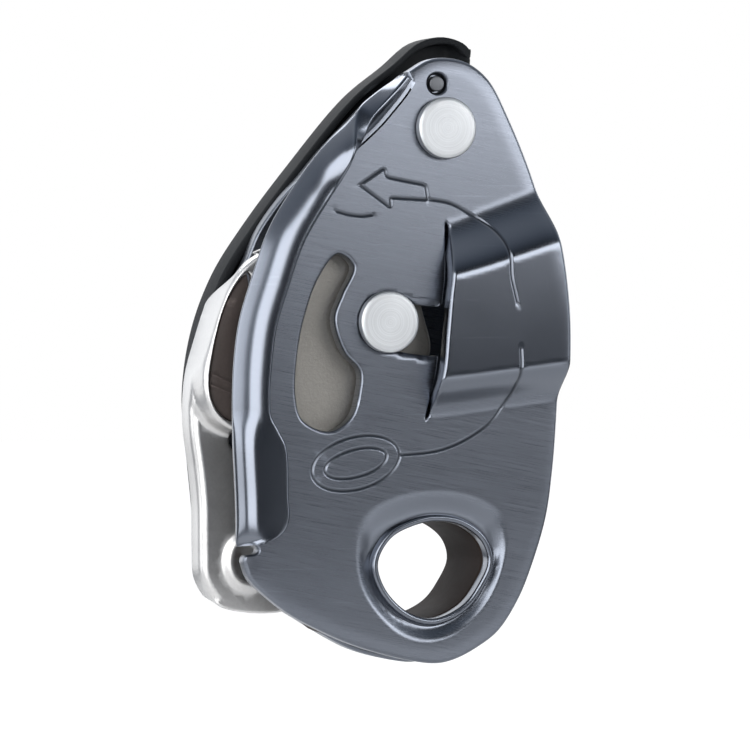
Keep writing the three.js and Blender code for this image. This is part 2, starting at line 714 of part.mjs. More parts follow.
function camStopPin() {
  return rod(camStopPlace(), camStopRadius, fixedInner + seatGap, armBack);
}

// Outline round two eyes and along the straight flanks that touch both.
function armOutline() {
  const from = place(axleShares);
  const to = place(handlePivotShares);
  const heading = to.clone().sub(from).angle();
  const lean = Math.acos((armAxleEyeRadius - armHandleEyeRadius) / from.distanceTo(to));
  const outline = [];
  const sweepEye = (centre, radius, first, turn) => {
    for (let i = 0; i <= 3 * rampSteps; i += 1) {
      const angle = first + (turn * i) / (3 * rampSteps);
      outline.push(new THREE.Vector2(Math.cos(angle), Math.sin(angle)).multiplyScalar(radius).add(centre));
    }
  };
  sweepEye(from, armAxleEyeRadius, heading + lean, 2 * Math.PI - 2 * lean);
  sweepEye(to, armHandleEyeRadius, heading - lean, 2 * lean);
  return outline;
}

function driveArm() {
  const holes = [
    circle(place(axleShares), sleeveRadius + seatGap),
    circle(place(handlePivotShares), handlePinRadius + seatGap, pinSides),
  ];
  return prism(armOutline(), armFront, armBack, holes);
}

// Closed outline across the handle: its front, open between the rim and the inner side, then its back.
function handleSection([ox, oz, ix, iz, rim]) {
  const width = Math.hypot(ix - ox, iz - oz) * bodyLength;
  const rimWidth = (handleRimShare * width) / 2;
  const crown = (handleCrownShare * width) / 2;
  const outerFront = handleFront + (1 - rim) * handleRim;
  const floor = handleSeat + handleFloor;
  return [
    [0, outerFront], [rimWidth, outerFront], [rimWidth, floor], [width - rimWidth, floor],
    [width - rimWidth, handleSeat], [width, handleSeat], [width, handleBack - handleShoulder],
    [width - crown / 2, handleBack - handleShoulder / 3], [width - crown, handleBack], [crown, handleBack],
    [crown / 2, handleBack - handleShoulder / 3], [0, handleBack - handleShoulder],
  ].map(([across, y]) => new THREE.Vector2(across, y));
}

function handleLever() {
  const flats = handleSectionShares.map(handleSection);
  const sections = flats.map((flat, i) => {
    const [ox, oz, ix, iz] = handleSectionShares[i];
    const outer = place([ox, oz]);
    const across = place([ix, iz]).sub(outer).normalize();
    return flat.map((p) => new THREE.Vector3(outer.x + across.x * p.x, p.y, outer.y + across.y * p.x));
  });
  const pivot = place(handlePivotShares);
  const floor = handleSeat + handleFloor;
  const boss = rod(pivot, handleBossRadius, handleSeat, floor + overrun, roundSides);
  const pocket = handlePinRadius + 3 * seatGap + springWireHandle;
  const head = handlePinHeadRadius + 2 * seatGap;
  return loft(sections, flats[0], flats.at(-1))
    .add(boss)
    .subtract(rod(pivot, pocket, handleSeat - overrun, floor, roundSides))
    .subtract(rod(pivot, handlePinRadius + 2 * seatGap + handleBushWall, handleSeat, handleBack + overrun))
    .subtract(rod(pivot, head, pinHeadFront() - seatGap, handleBack + overrun, roundSides));
}

function pinHeadFront() {
  return handleBack - handleCapThickness - 3 * seatGap - handlePinHeadHeight;
}

function handlePivotPin() {
  const front = armFront + seatGap / 2;
  const seat = pinHeadFront();
  return turned(place(handlePivotShares), [
    [0, front], [handlePinRadius, front], [handlePinRadius, seat], [handlePinHeadRadius, seat],
    [handlePinHeadRadius, seat + handlePinHeadHeight], [0, seat + handlePinHeadHeight],
  ], pinSides);
}

function handleBush() {
  const inner = handlePinRadius + seatGap;
  const front = handleSeat + handleFloor + seatGap;
  return tube(place(handlePivotShares), inner, inner + handleBushWall, front, pinHeadFront() - seatGap, pinSides);
}

function handleReturnSpring() {
  const inner = handlePinRadius + 2 * seatGap;
  const front = handleSeat + seatGap;
  return tube(place(handlePivotShares), inner, inner + springWireHandle, front, handleSeat + handleFloor, pinSides);
}

function handleHubCap() {
  const back = handleBack - seatGap / 2;
  return rod(place(handlePivotShares), handlePinHeadRadius + seatGap, back - handleCapThickness, back, roundSides);
}

// Pressed steel plate with a wall along its left edge and a raised, open island on top.
function frictionPlate() {
  const outline = [...stretch(frictionEdgeShares), ...frictionInnerShares.map(place)];
  const back = frictionFront + frictionThickness;
  const wallBack = fixedOuter + seatGap;
  const inside = frictionEdge(frictionThickness);
  inside.push(new THREE.Vector2(0, inside.at(-1).y), new THREE.Vector2(0, inside[0].y));
  const [low, high] = frictionWallShares.map((share) => share * bodyLength);
  const inner = frictionInnerShares[2][0] * bodyLength;
  const outer = inner - bodyLength;
  const wallRegion = [[outer, low], [inner, low], [inner, high], [outer, high]];
  const wall = prism(outline, frictionFront, wallBack)
    .intersect(prism(wallRegion.map(([x, z]) => new THREE.Vector2(x, z)), frictionFront, wallBack))
    .subtract(prism(inside, back, wallBack + overrun));
  const island = closedOutline(islandShares);
  const top = frictionFront - islandRise;
  const window = closedOutline(windowShares);
  const bead = oval(place(ovalBeadShares), ...ovalBeadSizeShares.map((share) => share * bodyLength), pinSides);
  let plate = prism(outline, frictionFront, back)
    .add(wall)
    .add(layered(island, [[top, 0], [top + islandTaper, islandTaper / 2], [back - seatGap, islandTaper / 2]]))
    .subtract(prism(window, top - overrun, frictionFront));
  plate = plate.add(layered(bead, [
    [frictionFront - beadRise, -beadTaper], [frictionFront - beadRise / 3, -beadTaper / 3], [back - seatGap, 0],
  ]));
  for (const share of frictionRivetShares) {
    plate = plate.subtract(rod(place(share), frictionRivetRadius + seatGap, top, fixedOuter));
  }
  return plate;
}

function nameInsert() {
  const outline = offset(closedOutline(windowShares), -seatGap);
  const front = frictionFront - islandRise + insertSink;
  return prism(outline, front, frictionFront - seatGap);
}

function frictionRivet(share, raise) {
  return rod(place(share), frictionRivetRadius, frictionFront - raise, fixedOuter);
}

// Nylon block between the plates whose collar lines the attachment hole.
function attachmentLiner() {
  const outline = closedOutline(linerShares);
  const hole = closedOutline(holeShares);
  const front = swingInner + seatGap;
  const collarBack = fixedOuter + seatGap;
  return prism(outline, front, fixedInner - seatGap)
    .add(prism(offset(hole, linerWall), fixedInner - seatGap - overrun, collarBack))
    .subtract(prism(hole, front - overrun, collarBack + overrun));
}

// Block between the plates, bored for its rivets.
function blockBetween(outline, rivetShares, rivetRadius) {
  let block = prism(outline, swingInner + seatGap, fixedInner - seatGap);
  for (const share of rivetShares) {
    block = block.subtract(rod(place(share), rivetRadius + seatGap, swingInner, fixedInner));
  }
  return block;
}

function brakeAnvil() {
  return blockBetween(closedOutline(anvilShares), anvilRivetShares, anvilRivetRadius);
}

function ropeGuide() {
  const outline = [...stretch(guideOuterShares), place(guideOuterShares.at(-1)), ...stretch(guideInnerShares)];
  outline.push(place(guideInnerShares.at(-1)));
  return blockBetween(outline, guideRivetShares, guideRivetRadius);
}

// Rivet through a block between the plates, its tail flush with the back of the fixed plate.
function blockRivet(share, radius) {
  return rod(place(share), radius, swingInner + seatGap, fixedOuter);
}

const body = new THREE.Group();

function addPiece(name, material, solid) {
  const mesh = new THREE.Mesh(geometryFrom(solid), new THREE.MeshStandardMaterial(materials[material]));
  mesh.name = name;
  body.add(mesh);
}

addPiece("fixed_side_plate", "plate", fixedSidePlate());
addPiece("swing_side_plate", "plate", swingSidePlate());
addPiece("swing_stop_pin", "steel", swingStopPin());
addPiece("closing_stop", "steel", fixedStop(stopRestAngle + stopSideAngle));
addPiece("opening_stop", "steel", fixedStop(stopRestAngle - swingOpenAngle - stopSideAngle));
addPiece("pivot_rivet", "steel", pivotRivet());
addPiece("pivot_spacer", "steel", pivotSpacer());
addPiece("pivot_washer", "bronze", pivotWasher());
addPiece("cam_axle", "steel", camAxle());
addPiece("cam_axle_ring", "steel", camAxleRing());
addPiece("cam_spring_cap", "steel", camSpringCap());
addPiece("cam_return_spring", "steel", camReturnSpring());
addPiece("cam_thrust_washer", "bronze", camThrustWasher());
addPiece("cam_stop_pin", "steel", camStopPin());
addPiece("cam", "cam", cam());
addPiece("cam_bush", "bronze", camBush());
addPiece("cam_sleeve", "steel", camSleeve());
addPiece("drive_arm", "steel", driveArm());
addPiece("handle_pivot_pin", "steel", handlePivotPin());
addPiece("handle_lever", "nylon", handleLever());
addPiece("handle_bush", "bronze", handleBush());
addPiece("handle_return_spring", "steel", handleReturnSpring());
addPiece("handle_hub_cap", "nylon", handleHubCap());
addPiece("friction_plate", "steel", frictionPlate());
addPiece("name_insert", "insert", nameInsert());
addPiece("friction_rivet_lower", "steel", frictionRivet(frictionRivetShares[0], beadRise / 2));
addPiece("friction_rivet_upper", "steel", frictionRivet(frictionRivetShares[1], 0));
addPiece("attachment_liner", "insert", attachmentLiner());
addPiece("brake_anvil", "steel", brakeAnvil());
anvilRivetShares.forEach((share, i) => {
  addPiece(`anvil_rivet_${i + 1}`, "steel", blockRivet(share, anvilRivetRadius));
});
addPiece("rope_guide", "plate", ropeGuide());
guideRivetShares.forEach((share, i) => {
  addPiece(`guide_rivet_${i + 1}`, "steel", blockRivet(share, guideRivetRadius));
});

export default body;
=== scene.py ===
"""Looks of an assisted braking belay device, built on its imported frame. Shapes are in millimetres."""
import math

import bpy
import numpy as np
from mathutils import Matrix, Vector
from mathutils.geometry import delaunay_2d_cdt


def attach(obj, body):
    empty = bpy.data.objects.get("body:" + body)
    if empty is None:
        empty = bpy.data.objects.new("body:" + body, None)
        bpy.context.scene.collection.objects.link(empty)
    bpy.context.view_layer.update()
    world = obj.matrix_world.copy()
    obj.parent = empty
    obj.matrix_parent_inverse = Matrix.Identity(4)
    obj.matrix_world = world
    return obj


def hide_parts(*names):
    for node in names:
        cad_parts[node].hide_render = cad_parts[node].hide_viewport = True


bl_info = {
    "name": "Belay Device Looks",
    "version": (1, 0, 0),
    "blender": (4, 5, 0),
    "location": "3D View > Sidebar > Belay Device",
    "description": "Builds the visible pieces of an assisted braking belay device on its packed frame",
    "category": "Object",
}

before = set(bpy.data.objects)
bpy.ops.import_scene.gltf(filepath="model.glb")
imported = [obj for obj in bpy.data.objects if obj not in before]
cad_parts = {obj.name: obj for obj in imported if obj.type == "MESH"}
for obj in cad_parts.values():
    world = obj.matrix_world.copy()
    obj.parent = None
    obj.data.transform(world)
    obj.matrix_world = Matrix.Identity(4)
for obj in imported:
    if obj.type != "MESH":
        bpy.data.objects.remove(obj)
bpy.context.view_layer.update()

# Millimetres to metres, and the angle from which an edge stays sharp
MM = 0.001
SHARP_ANGLE = math.radians(50)

# Share of the spacing between the rows of a sheet's grid, and how near to a line a grid point may be
ROW_SHARE = 0.87
CLEAR_SHARE = 0.45

# Layers, front to back
SWING_OUTER = -10.0
SWING_INNER = -7.0
FIXED_INNER = 7.0
FIXED_OUTER = 10.0
ARM_FRONT = 10.6
ARM_BACK = 12.8
HANDLE_SEAT = 13.1
HANDLE_BACK = 20.9
FRICTION_FRONT = 5.2
FRICTION_SHEET = 1.5
SHEET = 3.0
GAP = 0.3

# Pivots and axles
PIVOT = np.array([1.6, 71.5])
AXLE = np.array([-8.2, 40.1])
HANDLE_PIN = np.array([-26.0, 5.0])
AXLE_END = 19.4

# Stops of the front plate, on an arc about the pivot
STOP_ARC = 7.3
STOP_TURN = 1.73
STOP_SPACING = 0.38
STOP_RADIUS = 1.25
STOP_BORE = 1.5
SWING_TRAVEL = 2.05

# Radii of the bores
PIVOT_BORE = 3.3
SLEEVE_BORE = 7.0
PIN_BORE = 2.3
ANVIL_BORE = 1.8
GUIDE_BORE = 1.5

# Front plate, seen from the front
SWING_EDGE = [
    (-4.6, 80.5), (-0.9, 82.6), (2.6, 82.9), (6, 82.1), (9.5, 79.4), (12.9, 73.3), (17.1, 63.4), (20.2, 52.8),
    (21.5, 43.9), (21.8, 36.4), (21.3, 25.5), (20.6, 16.5), (19.4, 8.4), (17, 0.7), (14.7, -4.7),
    (11.2, -9.9), (7.7, -12.5), (3.6, -14.5), (0.4, -15.1), (-4.9, -14.4), (-13.5, -12), (-19.6, -9.4),
    (-24.7, -6.7), (-28.9, -3.5), (-31.4, -1), (-32.4, 1.7),
]
SWING_NOTCH = [(-32.4, 1.7), (-32.1, 2.6), (-30.4, 2.9), (-29.9, 3.6), (-30.5, 4.4)]
# Place of the crease, share of a half turn, radius of the bend, length of the flat after it
FOLD_STATIONS = [
    (-30.5, 4.6, 1, 1.65, 1.2), (-30.6, 5.5, 1, 1.65, 3), (-30.6, 7.9, 1, 1.65, 4.8),
    (-30.7, 12.1, 1, 1.65, 4.9), (-31.1, 20, 1, 1.65, 4.9), (-31.15, 22.6, 1, 1.65, 3.7),
    (-31.2, 25, 1, 1.65, 2.5), (-31.2, 28.5, 1, 1.65, 2.3), (-31, 33.1, 1, 1.65, 2.4),
    (-30.15, 39.5, 1, 1.65, 2.4), (-28.2, 45.9, 1, 1.65, 2.4),
    (-25.4, 53.6, 1, 1.65, 2.4), (-21.6, 59.8, 1, 1.65, 2.3), (-18.9, 63.6, 1, 1.65, 2.2),
    (-15.6, 66.9, 0.94, 2.1, 1.3), (-12.4, 69.6, 0.64, 2.37, 1.2), (-9.6, 72.2, 0.39, 2.79, 0.8),
    (-7.2, 74.9, 0.25, 2.61, 0.7), (-5.3, 77.2, 0.14, 2.61, 0.8), (-4, 79.2, 0.05, 2.61, 1),
]
KIDNEY = [
    (-16.4, 51.1), (-19.7, 47.2), (-21.9, 41.6), (-23.2, 35.6), (-23.6, 28.1), (-22.4, 24.3), (-17.7, 22.5),
    (-14.2, 24.8), (-12.9, 28.8), (-12.8, 32.3), (-15.4, 35.3), (-17.1, 40.6), (-15.7, 44.6), (-13.8, 49.1),
]
SLIT = [(-1.6, 24.4), (-0.6, 28), (0.5, 32.8), (1, 38), (1.6, 44.6), (1.9, 47), (1.9, 56.3)]
SLIT_WIDTH = 0.45
# Slot for the axle's neck: its outer reach from the pivot, its sweep and the radius of its end
SLOT_REACH = 36.9
SLOT_TURN = 0.4
SLOT_END = 4
BRIDGE_SPAN = (-3.0, 25.5)
BRIDGE_CREASES = [(24.2, 27.8), (30.8, 34.5), (45.2, 54.3), (54.5, 65.2)]
BRIDGE_RISE = 5.2
BRIDGE_LEAN = 1.3
LEAN_REACH = 7.0
HOLE = [
    (0.2, 7.9), (4.6, 7.2), (8.2, 4.5), (9.2, 1.2), (7.6, -2.4), (4.9, -5.7), (0, -7.8), (-4.3, -6.8),
    (-8.2, -3.2), (-9.6, 1.2), (-7.4, 5.2), (-3.5, 7.2),
]
DISH = [
    (0.7, 13.1), (7.7, 11.9), (11.8, 9.2), (12.6, 4.2), (11.6, 0.2), (9.9, -4.2), (7, -7.9), (3.6, -10.5),
    (-1, -11.8), (-6, -10.6), (-10.2, -6.9), (-12.8, -2.7), (-13.8, 2.3), (-13.8, 6.2), (-12, 9.5),
    (-7, 12.2),
]
DISH_DEPTH = 1.1
BEAD_WIDTH = 1.2
FOLD_CROWN = 2.4
NARROW_FOLD = 2.4
FOLD_CORNER = 0.5
FOLD_OVERLAP = 0.8
# Depth and width of the lead-in round the stop's bore
LEAD_IN = 0.4
LEAD_WIDTH = 0.45
EDGE_DROP = 0.32
EDGE_REACH = 2.6
GROOVE_WIDTH = 0.8
GROOVE_DEPTH = 0.2

# Pressed marks of the front plate: the rope's way and two plain signs
ROPE_UPPER = [
    (-0.9, 60), (2.6, 59.4), (5.6, 57.9), (7.7, 56.6), (9.4, 55.2), (10.6, 53.2), (11.2, 50.6), (11.4, 47.4),
    (11.9, 45.2), (12.4, 43.2),
]
ROPE_LOWER = [
    (13, 35.9), (13.1, 33.2), (12.9, 31), (12.6, 28.5), (11.6, 26.6), (10.1, 24.5), (8.2, 22.9), (4.6, 20.8),
    (0.7, 19.4), (-2.9, 18.9), (-6.1, 18.7),
]
ROPE_END = [(-16.7, 57.9), (-14.7, 57.4), (-12.4, 57.2), (-10.7, 57.4)]
ARROW_SIGN = [
    (-12.8, 62.2), (-8.6, 65), (-8.3, 63.5), (-1.6, 62.3), (-1.2, 59.9), (-7.6, 60.2), (-7.5, 58.5),
    (-12.8, 62.2),
]
RING_CENTRE = (-13.5, 17.4)
RING_SIZES = [(7.6, 4.2), (5.4, 2.2)]
RING_LEAN = math.radians(14)

# Rear plate
FIXED_EDGE = [
    (-5, 77), (-1.5, 79.3), (1.5, 81.6), (5, 82.2), (8.5, 80), (12.5, 73.3), (16.7, 63.4), (19.8, 52.8),
    (21.2, 43.9), (21.5, 36.4), (21, 25.5), (20.3, 16.5), (19, 8.4), (16.8, 0.7), (14.5, -5), (11.2, -10.9),
    (7, -14.3), (2.6, -15.7), (-3.5, -14.9), (-8.6, -13.4), (-13, -11.2), (-18, -8.2), (-23.5, -5),
]
FIXED_UPPER_LEFT = [
    (-29, 46.2), (-26.8, 49.8), (-24.4, 55.1), (-20.1, 61), (-17.6, 63.6), (-13.8, 68.1), (-10, 72), (-5, 77),
]

# Cam
CAM = [
    (-0.5, 41.2), (-2.2, 46), (-6.5, 50.8), (-12.5, 53.9), (-18, 53.4), (-22.6, 49.5), (-25, 43), (-25.6, 35),
    (-25.2, 28), (-23.6, 23.6), (-19.5, 21.5), (-15, 21.9), (-10.5, 25), (-4.5, 29.2), (0.6, 35),
]
CAM_FRONT = -6.3
CAM_BACK = 4.8
CAM_RIM = 0.5
CAM_GROOVE = 2.6

# Friction plate
FRICTION_EDGE = [
    (-20, 55.1), (-22.8, 53), (-26.6, 51.2), (-29, 49.5), (-31.5, 46), (-33.1, 42), (-34.6, 37.4),
    (-36.1, 32.1), (-36.6, 27.5), (-36.5, 22.6), (-35.6, 15.8), (-35.1, 10.5), (-35, 3.4), (-34.8, -1),
    (-33.9, -3.2), (-31.6, -6), (-27.3, -7.1), (-21.8, -7.2), (-19, -6.6),
]
FRICTION_INNER = [
    (-19, -6.6), (-19, 10), (-30, 20), (-30, 42), (-25, 43), (-18, 48), (-18, 54.5), (-20, 55.1),
]
ISLAND = [
    (-26.2, 51.4), (-28.8, 49.9), (-31.4, 47), (-33.6, 43.3), (-35.4, 36.7), (-36.1, 30.8), (-35.7, 27.4),
    (-34.4, 24.8), (-32.2, 23), (-29.8, 22.3), (-28.9, 25), (-29.2, 33), (-28.5, 40), (-26.9, 45.5),
    (-25.6, 48), (-25.4, 50.2),
]
WINDOW = [
    (-28.5, 48.2), (-30.3, 46.6), (-32.3, 43), (-34.2, 36.6), (-35.1, 31), (-34.9, 28.2), (-34, 26.1),
    (-32.4, 24.5), (-30.6, 23.9), (-30.2, 26), (-30.4, 33), (-29.6, 40), (-27.9, 46),
]
ISLAND_RISE = 5.5
WALL_RANGE = (-5.0, 43.0)
WALL_FADE = 5.5
WALL_BACK = 10.3
WALL_ROUND = 1.4
WALL_SHEET = 1.55
INSERT_RIDGES = [[(-34.4, 31.6), (-29.8, 29.6)], [(-34.6, 29.9), (-30.3, 28.2)]]
INSERT_GAP = 0.25
INSERT_FRONT = 0.75
INSERT_BACK = 4.9
OVAL_BEAD = (-26.8, 1.2)
OVAL_SIZE = (4.7, 5.4)
FRICTION_RIVETS = [(-26.8, 1.2), (-22.2, 49.2)]

# Pieces between the plates
LINER = [
    (-17, -9.3), (-12, -11.2), (-8.5, -12.7), (-3.5, -14.1), (2.6, -14.6), (7, -13), (10.8, -9.5),
    (13.8, -4.5), (16, 1), (16.5, 7), (14, 10.5), (7, 11.2), (0, 11.2), (-8, 10.5), (-14, 7),
    (-17.5, 1), (-18.2, -5),
]
COLLAR_WALL = 2.03
COLLAR_BORE = 2.3
ANVIL = [(-14.2, 66.4), (-12.6, 64.8), (-8.5, 64.2), (-4.6, 65.2), (-4.9, 68.6), (-9, 69.6), (-12.8, 69)]
ANVIL_RIVETS = [(-11.2, 66.9), (-6.7, 66.9)]
GUIDE_OUTER = [
    (18, 12.5), (19.6, 18), (20.2, 26), (20.7, 34), (20.6, 42), (20, 49), (18.2, 56), (15.8, 62),
    (13.4, 67.5),
]
GUIDE_INNER = [
    (11, 65.5), (13.2, 60), (15.2, 54), (16.4, 48), (16.8, 41), (16.6, 33), (16, 26), (15, 18), (14.5, 13),
]
GUIDE_RIVETS = [(17.3, 20), (18.2, 46)]

# Handle sections, tip to hub: outer side, inner side, and how far the outer rim stands forward
HANDLE_SECTIONS = [
    (13.5, 85.7, 13.2, 82.4, 1), (12.6, 86.6, 11.8, 80.8, 1), (8.6, 87.6, 7.4, 78.4, 1),
    (4.6, 86.6, 4.6, 76.2, 1), (0.1, 82.9, 2, 73.4, 1), (-6.6, 77.6, -2.6, 69, 1),
    (-16.4, 66.2, -8.8, 59.6, 1),
    (-24.1, 56.3, -13.7, 50.7, 1), (-29.4, 48.2, -17.2, 42.9, 1), (-33, 39, -18.6, 34.6, 1),
    (-34.6, 28.5, -18.9, 26, 1), (-33.8, 18, -18.4, 17, 1), (-33, 10, -17.9, 9, 0),
    (-32.6, 3, -17.9, 2.5, 0), (-31.2, -1.2, -19.6, -1.2, 0), (-28.8, -3.8, -22.9, -3.8, 0),
]
TIP_ROWS = 4
# Rim and crown as shares of the handle's width, and what the rim gains where it closes round the tip
RIM_SHARE = 0.125
TIP_RIM = 0.3
CROWN_SHARE = 0.275
HUB_DROP = 2.4
HANDLE_RECESS = 1.8
TIP_RECESS = 0.2
TIP_ROUND = 0.7
HANDLE_CROWN = 3.4
HANDLE_SLOPE = 1.13
# Profile of the hub cap: radius and depth of each corner
HUB_CAP = [(0, 19.4), (4.7, 19.4), (4.9, 20.95), (3.9, 21.2), (3.6, 21.1), (1.4, 21.15), (0, 21.2)]

# Drive arm: radii of its large and small eyes, and where it rests when released
ARM_EYES = (9.6, 5.4)
REST_REACH = 22
REST_GAP = 2.3
# Profile of the spring's cap: radius and depth of each corner
SPRING_CAP = [(4.3, 16.2), (4.3, 15.4), (7.2, 15.4), (7.2, 13.1), (8, 13.1), (8, 15.3), (7.1, 16.2)]

# Stage, in metres: name, place, size and power of each lamp
LAMPS = [
    ("Left Softbox", (-0.27, -0.38, 0.09), (0.34, 0.48), 2.35),
    ("Back Left Softbox", (-0.25, 0.5, 0.08), (0.3, 0.4), 0.6),
    ("Left Side Softbox", (-0.5, 0.0, 0.08), (0.4, 0.45), 1.6),
    ("Front Panel", (0.18, -0.3, 0.13), (0.26, 0.1), 0.44),
    ("Low Panel", (0.08, -0.17, -0.055), (0.16, 0.1), 0.04),
    ("Top Softbox", (-0.1, 0.3, 0.5), (0.4, 0.3), 2.0),
    ("Right Softbox", (0.45, -0.34, 0.08), (0.2, 0.4), 0.35),
    ("Right Rim", (0.6, 0.25, 0.1), (0.12, 0.5), 0.8),
    ("Back Softbox", (0.1, 0.8, 0.45), (0.6, 0.5), 1.0),
]
CAMERA_AIM = (-0.0068, 0, 0.0323)
LAMP_AIM = (-0.005, 0, 0.035)
FLOOR_REACH = 6.0


# Plane geometry

def smooth_line(places, steps, closed=False):
    """Points of a smooth line through the places, evenly eased between uneven ones."""
    knots = np.asarray(places, float)
    if closed:
        knots = np.vstack([knots[-1:], knots, knots[:2]])
    else:
        knots = np.vstack([2 * knots[0] - knots[1], knots, 2 * knots[-1] - knots[-2]])
    share = np.arange(steps)[:, None] / steps
    line = []
    for p0, p1, p2, p3 in zip(knots, knots[1:], knots[2:], knots[3:]):
        d0, d1, d2 = (max(np.linalg.norm(b - a), 1e-6) ** 0.5 for a, b in ((p0, p1), (p1, p2), (p2, p3)))
        m1 = ((p1 - p0) / d0 - (p2 - p0) / (d0 + d1) + (p2 - p1) / d1) * d1
        m2 = ((p2 - p1) / d1 - (p3 - p1) / (d1 + d2) + (p3 - p2) / d2) * d1
        line.append(p1 + m1 * share + (3 * (p2 - p1) - 2 * m1 - m2) * share ** 2
                    + (m1 + m2 - 2 * (p2 - p1)) * share ** 3)
    if not closed:
        line.append(knots[-2:-1])
    return np.vstack(line)


def evenly(line, spacing, closed=False):
    """The line's points again, at even distances."""
    if closed:
        line = closed_line(line)
    length = np.concatenate([[0], np.cumsum(np.linalg.norm(np.diff(line, axis=0), axis=1))])
    count = max(3, round(length[-1] / spacing))
    at = np.linspace(0, length[-1], count + 1)
    even = np.column_stack([np.interp(at, length, line[:, axis]) for axis in range(line.shape[1])])
    return even[:-1] if closed else even


def loop_of(places, spacing=0.7):
    """Smooth closed outline with even points."""
    return evenly(smooth_line(places, 12, closed=True), spacing, closed=True)


def circle(centre, radius, count=40):
    """Round outline."""
    return oval(centre, (radius, radius), count)


def oval(centre, size, count=60):
    """Oval outline with these two half sizes."""
    turn = np.arange(count) * 2 * np.pi / count
    return np.column_stack([centre[0] + size[0] * np.cos(turn), centre[1] + size[1] * np.sin(turn)])


def signed_area(loop):
    """Area of an outline, over zero where it turns counter-clockwise."""
    after = np.roll(loop, -1, axis=0)
    return 0.5 * np.sum(loop[:, 0] * after[:, 1] - after[:, 0] * loop[:, 1])


def moved(loop, distance):
    """Outline moved outward by the distance."""
    along = np.roll(loop, -1, axis=0) - np.roll(loop, 1, axis=0)
    along /= np.maximum(np.linalg.norm(along, axis=1, keepdims=True), 1e-9)
    side = 1 if signed_area(loop) > 0 else -1
    return loop + side * distance * np.column_stack([along[:, 1], -along[:, 0]])


def closed_line(loop):
    """Closed outline as an open line that comes back to its first point."""
    return np.vstack([loop, loop[:1]])


def rings_round(loop, distances):
    """Lines round a closed outline, each moved outward by its distance."""
    return [closed_line(moved(loop, distance)) for distance in distances]


def beside(line, distance):
    """Open line moved to its left by the distance."""
    along = np.gradient(line, axis=0)
    along /= np.maximum(np.linalg.norm(along, axis=1, keepdims=True), 1e-9)
    return line + distance * np.column_stack([-along[:, 1], along[:, 0]])


def inside(points, loop):
    """Tells which points lie inside a closed outline."""
    found = np.zeros(len(points), bool)
    for (ax, az), (bx, bz) in zip(loop, np.roll(loop, -1, axis=0)):
        if az == bz:
            continue
        crosses = (az > points[:, 1]) != (bz > points[:, 1])
        found ^= crosses & (points[:, 0] < ax + (points[:, 1] - az) * (bx - ax) / (bz - az))
    return found


def distance_to(points, starts, ends):
    """Distance from each point to the nearest of the segments."""
    along = ends - starts
    length = np.maximum((along ** 2).sum(axis=1), 1e-12)
    nearest = []
    for part in np.array_split(points, max(1, len(points) // 400)):
        gap = part[:, None, :] - starts[None]
        share = np.clip((gap * along).sum(axis=2) / length, 0, 1)
        off = gap - share[..., None] * along
        nearest.append(np.sqrt((off ** 2).sum(axis=2).min(axis=1)))
    return np.concatenate(nearest)


def from_loop(points, loop):
    """Distance from each point to a closed outline, under zero outside it."""
    far = distance_to(points, loop, np.roll(loop, -1, axis=0))
    return np.where(inside(points, loop), far, -far)


def from_line(points, line):
    """Distance from each point to an open line."""
    return distance_to(points, line[:-1], line[1:])


def eased(value, low, high):
    """Zero below low, one above high, and smooth between."""
    share = np.clip((value - low) / (high - low), 0, 1)
    return share * share * (3 - 2 * share)


def rounded(points, radius, steps=4, closed=True):
    """Polygon whose corners are rounded, always by the same count of points."""
    points = np.asarray(points, float)
    count = len(points)
    line = [] if closed else [points[0]]
    for i in range(count) if closed else range(1, count - 1):
        corner = points[i]
        before = points[i - 1] - corner
        after = points[(i + 1) % count] - corner
        near = min(radius, 0.42 * np.linalg.norm(before), 0.42 * np.linalg.norm(after))
        start = corner + before / max(np.linalg.norm(before), 1e-9) * near
        end = corner + after / max(np.linalg.norm(after), 1e-9) * near
        for step in range(steps + 1):
            share = step / steps
            line.append((1 - share) ** 2 * start + 2 * share * (1 - share) * corner + share ** 2 * end)
    if not closed:
        line.append(points[-1])
    return np.array(line)


# Solid shapes

